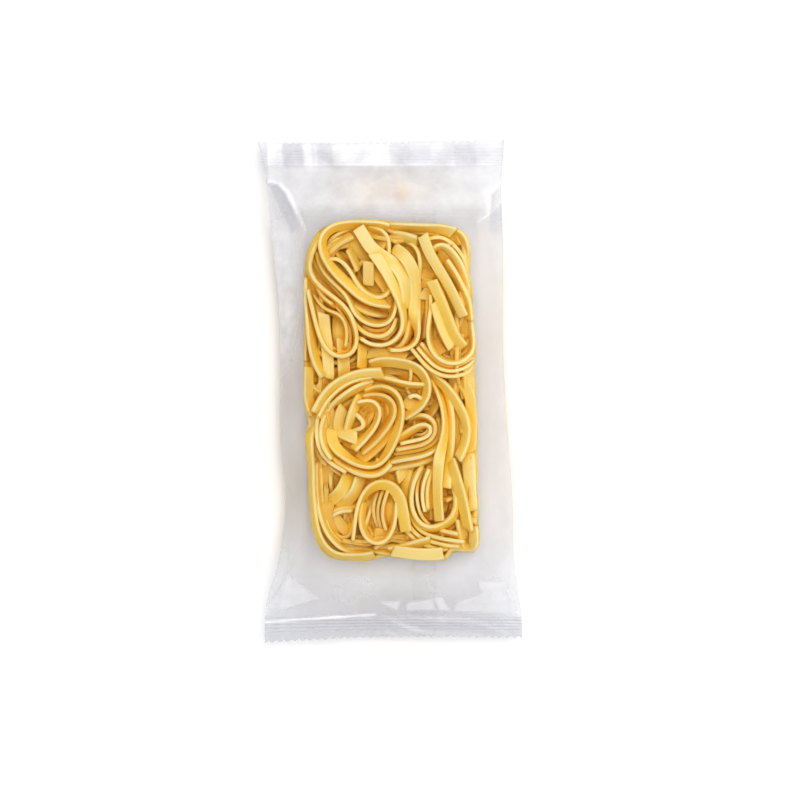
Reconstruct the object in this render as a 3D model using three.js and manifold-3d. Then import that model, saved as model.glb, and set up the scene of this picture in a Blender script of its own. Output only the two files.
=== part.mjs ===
// A clear pillow pack of cooked tagliatelle, lying on its back with the shown side up.
// Two pieces: the sealed bag of clear film, and the pressed block of pasta that fills it.
// Millimetres, +Z up, +Y towards the upper seal. The origin is under the middle of the pack.

import * as THREE from 'three';
import { mergeVertices } from 'three/addons/utils/BufferGeometryUtils.js';
import Module from 'manifold-3d';

const wasm = await Module();
wasm.setup();

// ---------------------------------------------------------------- driving dimensions

const PACK_WIDTH = 126.8;
const PACK_LENGTH = 241.6;
const BLOCK_TOP = 27.5; // the pressed face of the pasta above the surface the pack lies on
const FILM_FLOOR = 1.2; // the bag's back under the pasta
const FIT_GAP = 0.35; // between the film and the pasta
const BLOCK_FLOOR = FILM_FLOOR + FIT_GAP;

const BLOCK_LEFT = -41.5;
const BLOCK_RIGHT = 43.5;
const BLOCK_FAR = 82.3;
const BLOCK_NEAR = -81.6;
const BLOCK_CORNER = 13;

const SEAL_DEPTH = 13; // width of each crimped end band
const SEAL_THICKNESS = 1.0;
const SEAL_HEIGHT = 10; // where front and back film meet, above the surface
const CRIMP_PITCH = 1.8;
const CRIMP_RELIEF = 0.3;
const CRIMP_LINES = 5;
const TOOTH_PITCH = 3.5;
const TOOTH_DEPTH = 1.1;

const NOODLE_WIDTH = 6.4;
const NOODLE_THICKNESS = 2.2;

const JOIN_TOLERANCE = 0.03; // slivers left by a join or a cut are closed up to this size

const FAR_EDGE = PACK_LENGTH / 2;
const FAR_SEAL = FAR_EDGE - SEAL_DEPTH;
const NEAR_EDGE = -PACK_LENGTH / 2;
const NEAR_SEAL = NEAR_EDGE + SEAL_DEPTH;

// ---------------------------------------------------------------- small helpers

const clamp01 = (value) => Math.min(1, Math.max(0, value));
const lerp = (from, to, share) => from + (to - from) * share;

function solidOf(geometry) {
  const bare = geometry.index ? geometry.toNonIndexed() : geometry.clone();
  bare.deleteAttribute('normal');
  bare.deleteAttribute('uv');
  const merged = mergeVertices(bare, 1e-4);
  return new wasm.Manifold(new wasm.Mesh({
    numProp: 3,
    vertProperties: new Float32Array(merged.attributes.position.array),
    triVerts: new Uint32Array(merged.index.array),
  }));
}

function geometryOf(solid) {
  const mesh = solid.simplify(JOIN_TOLERANCE).getMesh();
  const geometry = new THREE.BufferGeometry();
  geometry.setAttribute('position', new THREE.BufferAttribute(new Float32Array(mesh.vertProperties), 3));
  geometry.setIndex(new THREE.BufferAttribute(new Uint32Array(mesh.triVerts), 1));
  geometry.computeVertexNormals();
  return geometry;
}

// A box of unit size, cut into cells, whose every corner is put where place(u, v, face) says:
// u and v run from 0 to 1 across and along it, and face is 1 on its top and -1 underneath.
function shapedPlate(cellsAcross, cellsAlong, place) {
  const geometry = new THREE.BoxGeometry(1, 1, 1, cellsAcross, cellsAlong, 1);
  const corners = geometry.attributes.position;
  const faces = [];
  for (let i = 0; i < corners.count; i++) {
    faces.push(Math.sign(corners.getZ(i)));
    const spot = place(corners.getX(i) + 0.5, corners.getY(i) + 0.5, faces[i]);
    corners.setXYZ(i, ...spot);
  }
  foldOutwards(geometry.index, corners, faces);
  return solidOf(geometry);
}

// Each cell is two triangles. It is split along the diagonal that stands proud, so that a fold of
// the film runs along the edges of the triangles and not across them.
function foldOutwards(index, corners, faces) {
  for (let first = 0; first < index.count; first += 6) {
    const [a, b, d, , c] = [0, 1, 2, 3, 4].map((n) => index.getX(first + n));
    if (faces[a] !== faces[c] || faces[b] !== faces[d]) continue;
    const kept = corners.getZ(b) + corners.getZ(d);
    const other = corners.getZ(a) + corners.getZ(c);
    if (faces[a] * (other - kept) > 1e-4) [a, b, c, a, c, d].forEach((n, i) => index.setX(first + i, n));
  }
}

// ---------------------------------------------------------------- the bag's outline

// Each side edge runs from the far corner to the near corner, drawn in a little where the film is
// pulled round the block and spread again at the seals.
const curveThrough = (spots) => new THREE.SplineCurve(spots.map(([x, y]) => new THREE.Vector2(x, y)));
const LEFT_EDGE = curveThrough([
  [-PACK_WIDTH / 2, FAR_EDGE], [-59, 101], [-56, 69], [-52.5, 31], [-52.2, -22], [-49.8, -52],
  [-52.8, -80], [-59, -102], [-59.7, NEAR_EDGE],
]);
const RIGHT_EDGE = curveThrough([
  [54.8, FAR_EDGE], [53.2, 98], [54.2, 66], [54.1, 25], [55.8, -13], [58.4, -48],
  [59.4, -80], [62.6, -105], [PACK_WIDTH / 2, NEAR_EDGE],
]);

function edgeX(edge, y) {
  let low = 0;
  let high = 1;
  for (let step = 0; step < 30; step++) {
    const middle = (low + high) / 2;
    if (edge.getPoint(middle).y > y) low = middle;
    else high = middle;
  }
  return edge.getPoint(low).x;
}

// The end seals are not quite square to the pack, and their free edges bow inwards.
const farRise = (x) => lerp(-1.5, 0, clamp01(x / PACK_WIDTH + 0.5)) - 1.2 * (1 - (x / 60) ** 2);
const nearRise = (x) => lerp(0, 2.4, clamp01(x / PACK_WIDTH + 0.5)) + 1.6 * (1 - (x / 60) ** 2);

// How high the two films lie where they are welded: the bands droop and ripple a little.
function sealHeight(x, y) {
  const beyond = clamp01((Math.abs(y) - FAR_SEAL) / SEAL_DEPTH);
  const ripple = y > 0 ? Math.sin(x / 17 + 0.6) : Math.sin(x / 13 - 0.9);
  return SEAL_HEIGHT - 2.2 * beyond + 1.1 * beyond * ripple;
}

// ---------------------------------------------------------------- the bag's body

// 0 over the block, 1 on the side edge or the seal. Where the two slopes meet they fold into a hip.
function awayFromBlock(x, y) {
  const side = x < 0
    ? (BLOCK_LEFT - x) / (BLOCK_LEFT - edgeX(LEFT_EDGE, y))
    : (x - BLOCK_RIGHT) / (edgeX(RIGHT_EDGE, y) - BLOCK_RIGHT);
  const end = y > 0
    ? (y - BLOCK_FAR) / (FAR_SEAL - BLOCK_FAR)
    : (BLOCK_NEAR - y) / (BLOCK_NEAR - NEAR_SEAL);
  return { side: clamp01(side), end: clamp01(end) };
}

function bodySpot(u, v, face) {
  const y = lerp(NEAR_SEAL - 1, FAR_SEAL + 1, v);
  const x = lerp(edgeX(LEFT_EDGE, y), edgeX(RIGHT_EDGE, y), u);
  const away = awayFromBlock(x, y);
  const slope = Math.max(away.side, away.end);
  const meeting = sealHeight(x, y) + face * SEAL_THICKNESS * 0.45;
  const pleats = 0.9 * Math.sin(y / 6.5 + x / 9) * 4 * slope * (1 - slope);
  if (face > 0) {
    const rim = BLOCK_TOP - 1.5;
    return [x, y, lerp(rim, meeting, slope ** 0.92) + pleats];
  }
  return [x, y, meeting * slope ** 1.6];
}

// Cells are narrow in the margins and skirts, where the film slopes, and wide over the block.
function gathered(share, margin, cells, marginCells) {
  const cell = share * cells;
  if (cell <= marginCells) return (cell / marginCells) * margin;
  if (cell >= cells - marginCells) return 1 - ((cells - cell) / marginCells) * margin;
  return lerp(margin, 1 - margin, (cell - marginCells) / (cells - 2 * marginCells));
}

const BODY_ACROSS = 12;
const BODY_ALONG = 22;
const body = shapedPlate(BODY_ACROSS, BODY_ALONG, (u, v, face) => bodySpot(
  gathered(u, 0.105, BODY_ACROSS, 4),
  gathered(v, 0.125, BODY_ALONG, 5),
  face,
));

// ---------------------------------------------------------------- the end seals

// The inner part of a seal is crimped with ribs that run across the pack; beyond it the weld is
// smooth, and the free edge is cut in small teeth.
const CRIMP_BAND = CRIMP_LINES * CRIMP_PITCH;

function sealSpot(end, u, beyond, thickness) {
  const y = end * (FAR_SEAL + beyond);
  const x = lerp(edgeX(LEFT_EDGE, y), edgeX(RIGHT_EDGE, y), u);
  const rise = end > 0 ? farRise(x) : nearRise(x);
  return [x, y + rise * clamp01(beyond / SEAL_DEPTH), sealHeight(x, y) + thickness];
}

function crimpBand(end) {
  return shapedPlate(12, CRIMP_LINES * 2 + 1, (u, v, face) => {
    const line = Math.round(v * (CRIMP_LINES * 2 + 1));
    const rib = line % 2 === 0 ? 0 : CRIMP_RELIEF;
    const along = end > 0 ? v : 1 - v;
    return sealSpot(end, u, lerp(-1.5, CRIMP_BAND, along), face * (SEAL_THICKNESS / 2 + rib));
  });
}

function toothedBand(end) {
  const teeth = Math.round(119 / TOOTH_PITCH);
  return shapedPlate(teeth * 2, 1, (u, v, face) => {
    const outer = end > 0 ? v : 1 - v;
    const notch = Math.round(u * teeth * 2) % 2 === 0 ? TOOTH_DEPTH : 0;
    const beyond = lerp(CRIMP_BAND - 1, SEAL_DEPTH - notch, outer);
    return sealSpot(end, u, beyond, face * SEAL_THICKNESS * 0.45);
  });
}

// ---------------------------------------------------------------- the space the pasta fills

function blockOutline(inset) {
  const left = BLOCK_LEFT + inset;
  const right = BLOCK_RIGHT - inset;
  const far = BLOCK_FAR - inset;
  const near = BLOCK_NEAR + inset;
  const round = BLOCK_CORNER - inset;
  const outline = new THREE.Shape();
  outline.absarc(right - round, far - round, round, 0, Math.PI / 2, false);
  outline.absarc(left + round, far - round, round, Math.PI / 2, Math.PI, false);
  outline.absarc(left + round, near + round, round, Math.PI, Math.PI * 1.5, false);
  outline.absarc(right - round, near + round, round, Math.PI * 1.5, Math.PI * 2, false);
  outline.closePath();
  return outline;
}

function blockPrism(inset, bottom, top) {
  const prism = new THREE.ExtrudeGeometry(blockOutline(inset), {
    depth: top - bottom, bevelEnabled: false, curveSegments: 5,
  });
  prism.translate(0, 0, bottom);
  return solidOf(prism);
}

const pocket = blockPrism(-FIT_GAP, FILM_FLOOR, BLOCK_TOP + 20);
let bag = body;
for (const end of [1, -1]) bag = bag.add(crimpBand(end)).add(toothedBand(end));
bag = bag.subtract(pocket);

// ---------------------------------------------------------------- the noodles that show

// Each row is a noodle, or a few side by side: how far the ribbon is turned on its side from its
// first end to its last (0 lies flat, 90 stands on edge), how many there are, and its way in plan.
// The uppermost come first: each one passes under those before it.
const RUNS = [
  // the coil in the far left corner
  [[0, 0, 25, 80, 90], 1, [[-11, 64.5], [-5, 60], [0, 53.5], [4, 46], [6, 37], [5.5, 29], [2, 22.5], [-5, 20.5],
    [-13, 23.5]]],
  [[0, 0, 10, 40], 1, [[-14, 76], [-10.5, 70], [-6, 64.5], [0, 62.5], [5, 57], [7.5, 49], [7, 42]]],
  [[60, 40, 50, 80, 90, 85], 1, [[0, 75], [-4, 78.5], [-11, 79.7], [-20, 79], [-28, 76], [-32.3, 71], [-31.5, 64],
    [-27, 56.5], [-20.5, 51], [-11, 44], [0, 41.5]]],
  [[90, 90, 85], 1, [[-31, 60], [-28.5, 62.8], [-24, 61.5], [-16, 51.5], [-11, 46], [-6, 44.2], [0, 48]]],
  [[80, 90, 90, 90], 1, [[-34, 75], [-38, 68], [-38.8, 60], [-35.5, 51.5], [-21.5, 38.5], [-16.5, 31], [-15.5, 24.5],
    [-18, 18], [-23, 15.3], [-29, 18], [-33.5, 25], [-36, 35], [-38, 44]]],
  [[20, 60, 90, 60], 1, [[-33, 62], [-27, 50], [-19, 40.5], [-13, 34.5], [-6, 32], [0, 34], [2, 40]]],
  [[60, 90, 90], 1, [[-21, 36], [-16, 30], [-10, 27], [-3, 26.7], [1.5, 31], [2.5, 37]]],
  [[60, 50, 40], 1, [[-9, 75.5], [-4, 75], [0, 71], [0, 62]]],
  [[0, 0], 1, [[-10, 61], [-10, 51]]],
  [[0, 0, 30, 90, 90], 1, [[2, 67.5], [7.5, 62], [12, 54], [12.5, 46], [12, 40], [14, 33], [13.5, 25], [9.5, 20],
    [1, 19]]],
  // the far right corner
  [[0, 0, 0], 1, [[15, 74], [22, 61], [33, 43.5], [37.5, 36]]],
  [[0, 10], 1, [[34, 40], [38.5, 27]]],
  [[10, 0, 0], 1, [[18, 54], [25.5, 39], [34.5, 23]]],
  [[80, 90, 90, 90], 1, [[16.5, 48], [18, 42], [17, 33], [18, 25], [22, 18.5], [27.5, 15], [33.5, 15.5], [38, 20.5],
    [40, 28], [39.5, 36]]],
  [[80, 90, 90], 3, [[9, 22.5], [14.5, 17.5], [20, 13], [26.5, 10.5], [33.5, 11.5], [38.5, 16.5]]],
  [[60, 60, 50, 30], 1, [[1, 77], [10, 78.2], [20, 78.2], [28, 77.2], [33.5, 74.5], [36.5, 69], [37, 61]]],
  [[20, 40], 1, [[2, 73], [13, 72]]],
  [[60, 40, 20], 1, [[21.5, 66], [23.5, 70], [28, 69.5], [32.5, 64.5], [36, 58], [38, 50]]],
  [[40, 30, 30], 1, [[24, 74], [30, 71], [35, 65], [38, 57], [39.5, 47], [40, 38]]],
  [[90, 80, 70], 1, [[3, 71], [8, 71], [12.5, 66.5], [14, 60], [13, 54]]],
  [[0, 0], 1, [[11, 52.5], [19, 51]]],
  // the ring in the middle left
  [[10, 20, 40, 70], 1, [[-3.5, 8.5], [-12, 9], [-21, 6.5], [-28, 2.5], [-33, -3], [-36, -8.5]]],
  [[80, 80, 80], 2, [[-9, 3.8], [-18, 0.5], [-25, -4.5], [-30, -10.5], [-32, -18], [-31, -26], [-27, -33]]],
  [[70, 30, 0, 20, 70, 90, 90], 1, [[-29, -20], [-27, -11], [-21, -4], [-13, 0], [-6, 1], [0, -2], [4, -9],
    [4.5, -17], [1, -25.5], [-3, -32], [-9, -36.5], [-16, -35], [-23, -30], [-28, -24]]],
  [[60, 70, 80], 1, [[-28, -29], [-22, -35], [-15, -39.5], [-8, -40.5], [-2, -36.5], [1.5, -31]]],
  [[80, 80, 80], 1, [[-14.5, -6.5], [-9, -4.5], [-4.5, -7.5], [-4, -12], [-7.5, -17], [-13, -20.5]]],
  [[0, 0], 1, [[-28, -19.5], [-16, -22.5]]],
  [[10, 0], 1, [[-14, -3], [-21, -17]]],
  [[20, 0, 0], 1, [[6, -13], [-0.5, -19.5], [-7, -26], [-14, -31.5]]],
  // the middle and the small nest beside the ring
  [[60, 40, 10, 10], 1, [[-8, 13.5], [-2.5, 16], [5, 16], [12, 13.5], [17, 8], [18.5, 1], [16, -6], [10, -11]]],
  [[70, 70, 30, 0], 1, [[12.5, 13.5], [19.5, 6.5], [26.5, 2.5], [33, -2], [37, -9.5], [38, -18], [36, -26]]],
  [[80, 80], 1, [[-4, 6.5], [14, 2]]],
  [[70, 50, 10, 0, 0, 10], 1, [[19, 5], [23.5, -4], [26.5, -13], [25.5, -22.5], [22.5, -31], [21.5, -41],
    [22.5, -51], [25.5, -59]]],
  [[60, 30, 10], 1, [[24, 2], [29.5, -6], [33, -13.5], [32, -21], [29, -27]]],
  [[20, 30, 60, 90, 90], 1, [[4, -23.5], [9.5, -20], [15.5, -17], [20, -16.2], [21.5, -13.5], [19.5, -11],
    [14.5, -11]]],
  [[90, 90, 90], 1, [[16, -8.5], [21.5, -12], [21.8, -18], [16.5, -22.5], [9.5, -24.3], [3, -25]]],
  [[90, 90, 90], 1, [[7, -8], [14, -6.5], [20, -9], [23.7, -15], [22.7, -22], [17, -26.5], [9, -28.5], [1, -29]]],
  [[80, 70, 60], 1, [[25.5, -17], [25.7, -24], [21, -30], [13, -33], [5, -34.5], [-2, -37]]],
  // the near end
  [[90, 80, 70, 60, 60], 1, [[-37.5, -20], [-37.3, -32], [-36.5, -46], [-35, -60], [-32, -70.5], [-27, -77],
    [-20, -79.3], [-8, -79]]],
  [[80, 70, 60, 40, 20], 1, [[-35, -37], [-34, -50], [-32, -60], [-28, -68], [-22, -73], [-15, -76], [-8, -77.5]]],
  [[50, 20, 0, 0, 30], 1, [[-16.5, -63], [-15.5, -55], [-12, -48.5], [-6, -45.2], [0, -46], [5, -51], [8, -58],
    [9, -66]]],
  [[80, 80, 60], 1, [[-15, -61], [-12.5, -68], [-8, -72.5], [-2.5, -72], [1.5, -67.5], [3.5, -60]]],
  [[40, 60], 1, [[-14.5, -58], [-17, -65], [-22, -70.5], [-28, -71]]],
  [[85, 90, 70, 20, 0], 1, [[10, -39], [9.3, -49], [10.8, -58], [14.5, -64.5], [20.5, -66.8], [27, -64],
    [32.5, -60], [35, -53.5], [34, -45.5], [31.5, -37.5], [28.5, -31]]],
  [[90, 90], 3, [[13, -38.5], [12, -48], [13.5, -56], [17.5, -62]]],
  [[10, 0], 1, [[-22, -38], [-23, -45], [-26.5, -50.5], [-31, -53]]],
  [[10, 10], 1, [[-12.5, -40], [-16, -46.5], [-27, -56.5]]],
  [[60, 60], 2, [[-5, -49], [-3.5, -57], [-1.5, -65]]],
  [[0, 0], 1, [[8, -35], [4.5, -42], [2.5, -48]]],
  [[10, 0], 2, [[12, -66], [19, -69], [36, -73]]],
  [[60, 70, 60, 10], 1, [[18, -73.5], [25, -74], [26, -77], [22.5, -79], [14, -79.5], [2.5, -77]]],
  [[30, 50, 60], 1, [[34, -63], [35.5, -71], [38.5, -75], [41, -73], [41.5, -62]]],
  [[10, 0, 0], 1, [[35.5, -27], [38, -37], [38.5, -50], [37.5, -65]]],
  [[60, 60, 50], 1, [[-39, 50], [-37.5, 34], [-36, 22], [-34.5, 12], [-31.5, 4.5]]],
  [[0, 0, 0], 1, [[-31, 42], [-29.5, 28], [-31, 6]]],
  [[10, 0], 1, [[-20, 18], [-19, 5]]],
];

const PRESS = 1.6; // how far one noodle sinks into the one under it
const RIM_DIP = 3; // how far the pressed face falls towards the block's rim
const CORE_INSET = 3.2;
const CORE_TOP = BLOCK_TOP - NOODLE_WIDTH - 2.4;
const SAMPLE = 2.5; // spacing of the places along a noodle where its height is found
const TURN_STEP = 0.42; // how much a noodle's way may turn, in radians, before it needs a section
const LONG_STEP = 9; // and how long a straight stretch may be
const RIM_RINGS = 3; // noodles that run round the block's sides, one above another
const RIM_STEP = 0.94; // of a noodle's width, from one of them to the next
const RIM_INSET = 1.5;
const RIM_WEAVE = 0.012;
const DEEP_NOODLES = 18; // lie on the core and show in the gaps between the others
const DEEP = BLOCK_TOP - CORE_TOP - NOODLE_THICKNESS * 0.85;

// The film presses the top almost flat, a little lower round the rim.
function pressedFace(x, y) {
  const across = Math.abs(x - (BLOCK_LEFT + BLOCK_RIGHT) / 2) / ((BLOCK_RIGHT - BLOCK_LEFT) / 2);
  const along = Math.abs(y - (BLOCK_FAR + BLOCK_NEAR) / 2) / ((BLOCK_FAR - BLOCK_NEAR) / 2);
  return BLOCK_TOP - RIM_DIP * Math.max(across, along) ** 6;
}

function along(values, share) {
  const place = share * (values.length - 1);
  const before = Math.min(values.length - 2, Math.floor(place));
  return lerp(values[before], values[before + 1], place - before);
}

// The height and the width in plan that a ribbon takes up when it is turned by this angle.
function extent(roll) {
  const turned = Math.abs(Math.sin((roll * Math.PI) / 180));
  return {
    tall: lerp(NOODLE_THICKNESS, NOODLE_WIDTH, turned),
    wide: lerp(NOODLE_WIDTH, NOODLE_THICKNESS, turned),
  };
}

// A ribbon of four faces along places in space, each with its sideways direction and its turn.
function ribbon(places) {
  return shapedPlate(1, places.length - 1, (u, v, face) => {
    const { spot, left, roll } = places[Math.round(v * (places.length - 1))];
    const turn = (roll * Math.PI) / 180;
    const across = (u - 0.5) * NOODLE_WIDTH;
    const up = (face * NOODLE_THICKNESS) / 2;
    const aside = across * Math.cos(turn) - up * Math.sin(turn);
    const rise = across * Math.sin(turn) + up * Math.cos(turn);
    return [spot.x - left.x * aside, spot.y - left.y * aside, spot.z + rise];
  });
}

function planPlace(plan, share, beside) {
  const at = plan.getPointAt(share);
  const ahead = plan.getTangentAt(share);
  const left = new THREE.Vector2(-ahead.y, ahead.x);
  return { spot: new THREE.Vector3(at.x + left.x * beside, at.y + left.y * beside, 0), left };
}

const laid = []; // where the noodles laid so far are, and how low they reach

// Lays one noodle: it rises to the pressed face, or to a depth under it, unless one laid before it
// is in the way.
function layNoodle(rolls, beside, way, depth = 0) {
  const plan = curveThrough(way);
  const count = Math.max(4, Math.ceil(plan.getLength() / SAMPLE));
  const tops = [];
  const own = [];
  for (let n = 0; n <= count; n++) {
    const { spot } = planPlace(plan, n / count, beside);
    const { tall, wide } = extent(along(rolls, n / count));
    let top = pressedFace(spot.x, spot.y) - depth;
    for (const other of laid) {
      const apart = Math.hypot(spot.x - other.x, spot.y - other.y);
      if (apart < (wide + other.wide) * 0.45) top = Math.min(top, other.low + PRESS);
    }
    tops.push(top);
    own.push({ x: spot.x, y: spot.y, wide, tall });
  }
  const lowest = tops.map((top, n) => Math.min(...tops.slice(Math.max(0, n - 1), n + 2)));
  const smooth = lowest.map((top, n) => {
    const near = lowest.slice(Math.max(0, n - 2), n + 3);
    return near.reduce((sum, value) => sum + value, 0) / near.length;
  });
  own.forEach((place, n) => laid.push({ ...place, low: smooth[n] - place.tall }));

  let turning = 0;
  for (let n = 1; n <= count; n++) {
    turning += plan.getTangentAt((n - 1) / count).angleTo(plan.getTangentAt(n / count));
  }
  const sections = Math.max(3, Math.ceil(turning / TURN_STEP), Math.ceil(plan.getLength() / LONG_STEP));
  const places = [];
  for (let n = 0; n <= sections; n++) {
    const roll = along(rolls, n / sections);
    const { spot, left } = planPlace(plan, n / sections, beside);
    spot.z = along(smooth, n / sections) - extent(roll).tall / 2;
    places.push({ spot, left, roll });
  }
  return ribbon(places);
}

// A noodle that goes round the sides of the block on edge, weaving in and out a little.
function rimNoodle(ring) {
  const turns = 32;
  const woven = (Kind, inset) => {
    const outline = blockOutline(inset);
    const spots = [];
    for (let turn = 0; turn < turns; turn++) {
      const at = outline.getPointAt(turn / turns);
      spots.push(at.multiplyScalar(1 - RIM_WEAVE * (1 + Math.sin(turn * (1.1 + 0.37 * ring) + ring))));
    }
    return new Kind(spots);
  };
  const shape = woven(THREE.Shape, RIM_INSET);
  shape.holes.push(woven(THREE.Path, RIM_INSET + NOODLE_THICKNESS));
  const band = new THREE.ExtrudeGeometry(shape, { depth: NOODLE_WIDTH, bevelEnabled: false });
  band.translate(0, 0, BLOCK_FLOOR - 0.3 + NOODLE_WIDTH * RIM_STEP * ring);
  return solidOf(band);
}

// The same draws from 0 to 1 on every run.
function seededChance(seed) {
  let state = seed;
  return () => {
    state = (state * 1664525 + 1013904223) % 4294967296;
    return state / 4294967296;
  };
}

// Gently bent ways, spread evenly in two columns down the block.
function deepWay(n, chance) {
  const x = lerp(BLOCK_LEFT + 22, BLOCK_RIGHT - 22, n % 2) + 8 * (chance() - 0.5);
  const y = lerp(BLOCK_FAR - 14, BLOCK_NEAR + 14, (n + 0.5) / DEEP_NOODLES);
  const heading = chance() * Math.PI;
  const bend = (chance() - 0.5) * 1.6;
  const reach = 9;
  return [-1, 0, 1].map((step) => {
    const angle = heading + bend * Math.abs(step);
    return [x + step * reach * Math.cos(angle), y + step * reach * Math.sin(angle)];
  });
}

let pasta = blockPrism(CORE_INSET, BLOCK_FLOOR - 0.5, CORE_TOP);
for (let ring = 0; ring < RIM_RINGS; ring++) pasta = pasta.add(rimNoodle(ring));
for (const [rolls, count, way] of RUNS) {
  for (let n = 0; n < count; n++) {
    pasta = pasta.add(layNoodle(rolls, n * NOODLE_THICKNESS * -1.12, way));
  }
}
const chance = seededChance(7);
for (let n = 0; n < DEEP_NOODLES; n++) {
  pasta = pasta.add(layNoodle([5 + 20 * chance(), 0], 0, deepWay(n, chance), DEEP));
}
pasta = pasta.intersect(blockPrism(0, BLOCK_FLOOR, BLOCK_TOP + 1));
const pieces = pasta.decompose().sort((a, b) => b.volume() - a.volume());
const largest = pieces[0];

// ---------------------------------------------------------------- the two named pieces

const film = new THREE.MeshStandardMaterial({
  color: 0xe9e9ee, roughness: 0.12, metalness: 0, transparent: true, opacity: 0.35,
});
const egg = new THREE.MeshStandardMaterial({ color: 0xf0cd6a, roughness: 0.45, metalness: 0 });

const bagMesh = new THREE.Mesh(geometryOf(bag), film);
bagMesh.name = 'film_bag';
const pastaMesh = new THREE.Mesh(geometryOf(largest), egg);
pastaMesh.name = 'noodle_block';

const pack = new THREE.Group();
pack.add(bagMesh, pastaMesh);
const middle = new THREE.Box3().setFromObject(pack).getCenter(new THREE.Vector3());
pack.position.set(-middle.x, -middle.y, 0);

export default pack;
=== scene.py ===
import math
import bpy
import numpy as np
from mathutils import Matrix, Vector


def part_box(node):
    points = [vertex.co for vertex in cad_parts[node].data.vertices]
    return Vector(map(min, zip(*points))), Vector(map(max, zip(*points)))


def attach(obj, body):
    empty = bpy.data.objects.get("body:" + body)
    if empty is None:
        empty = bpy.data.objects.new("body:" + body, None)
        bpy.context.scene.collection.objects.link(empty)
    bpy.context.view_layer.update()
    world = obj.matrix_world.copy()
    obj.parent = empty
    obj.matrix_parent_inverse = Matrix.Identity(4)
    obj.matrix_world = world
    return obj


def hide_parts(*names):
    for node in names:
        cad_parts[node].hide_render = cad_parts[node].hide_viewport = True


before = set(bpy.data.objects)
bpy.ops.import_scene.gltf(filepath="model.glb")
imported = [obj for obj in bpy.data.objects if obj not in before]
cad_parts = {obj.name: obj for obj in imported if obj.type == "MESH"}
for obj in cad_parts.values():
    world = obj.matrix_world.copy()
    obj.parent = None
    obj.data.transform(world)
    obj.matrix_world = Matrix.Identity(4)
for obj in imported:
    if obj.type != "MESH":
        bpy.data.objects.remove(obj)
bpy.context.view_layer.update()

# ---------------------------------------------------------------- the noodles that show
# Cooked egg noodles, rolled out and cut into ribbons, that lie coiled and folded on the pressed
# face of the block. They are laid from the face downwards: each passes under those before it.

MM = 0.001
NOODLE_WIDTH = 6.3
NOODLE_THICKNESS = 1.85
NOODLE_CORNER = 0.62  # how round the ribbon's long edges are
WIDTHS, THICKNESSES = (0.84, 1.0), (0.9, 1.12)  # shares of these that the noodles have
# Points round each long edge, and the steps from one ring of them to the next.
FINE, BESIDE, PLAIN = (4, 1), (3, 1), (3, 2)
BOW = 0.28  # how far a ribbon's middle is bowed out of its edges
WIDTH_WAVER, ROLL_WAVER = 0.035, 0.05  # how unevenly a ribbon is cut, and how much it wavers
CUT_SLANT = 24  # degrees that a cut end may be off square
CUT_LENGTH = 5  # from the cut, over which the slant fades
END_SIZE, END_ROUND = 0.72, 0.25  # of the last ring, which rounds the cut, and how far it stands out
STEP = 1.3  # between one section of a ribbon and the next
CURVE_STEPS = 24  # from one point of a way to the next, before it is measured off
WAY_EASE, HELD_EASE, ROLL_EASE = 1.6, 2.2, 5.0  # how far each is smoothed along the noodle
TOP_EASE = (4.0, 3.0, 2.5)
OVERLAP = 0.92  # of the two half widths, where one noodle lies over another
PRESS = 2.8  # how far a noodle may run into the one over it
PRESS_SHARE = 0.5  # and at most this share of the height of that one
SINK = 7.0  # how far below the face the deepest noodle that shows may lie
RIM_DIP = 3.0  # how far the pressed face falls towards the block's rim
RIM_ROOM = 0.3  # between the rim and the noodles
RIM_LOOSE = 0.9  # how much further in a noodle at the rim may keep
TILT_ROOM = 0.45  # what a tilted noodle stands above the pressed face

block_low, block_high = (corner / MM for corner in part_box("noodle_block"))
block_middle = (block_low + block_high) / 2
block_half = (block_high - block_low) / 2
block_top = block_high.z - TILT_ROOM
block_floor = block_low.z

# The block's uneven outline from above, round from its near right corner by way of its far end.
BLOCK_RIM = [
    (40.6, -77.2), (43.2, -73), (43.1, -66), (42.7, -59), (43.2, -53), (42.2, -47), (42.6, -38),
    (42.2, -28), (42.5, -18), (42.1, -8), (41.6, 2), (41.3, 12), (41.6, 22), (40.7, 31), (40, 39),
    (39.7, 49), (38.3, 56), (39, 63), (38.6, 70), (36.4, 75), (32, 78.2), (25, 80), (14, 80.4),
    (3, 80.9), (-5, 81.8), (-14, 82.2), (-22, 81.6), (-28.6, 79.8), (-34, 76.2), (-38, 70.6),
    (-40.3, 64), (-41.1, 55), (-41.3, 42), (-41, 28), (-41.3, 14), (-41.5, 3), (-41.3, -7),
    (-39.6, -11.6), (-38.6, -15), (-40.4, -20), (-40.4, -27), (-39.4, -36), (-39.1, -47), (-38.2, -58),
    (-36.6, -67.5), (-33.8, -74.8), (-29.4, -79.2), (-23, -81), (-14, -81.4), (-8.5, -81.2),
    (-4.5, -79.6), (1, -79.6), (7, -80.6), (14, -81.4), (21, -81.4), (27, -81), (29, -78.5),
    (30.5, -76.4), (37, -77.6),
]
RIM_EASE = 4.0  # over how many millimetres the rim's outward direction turns


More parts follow.
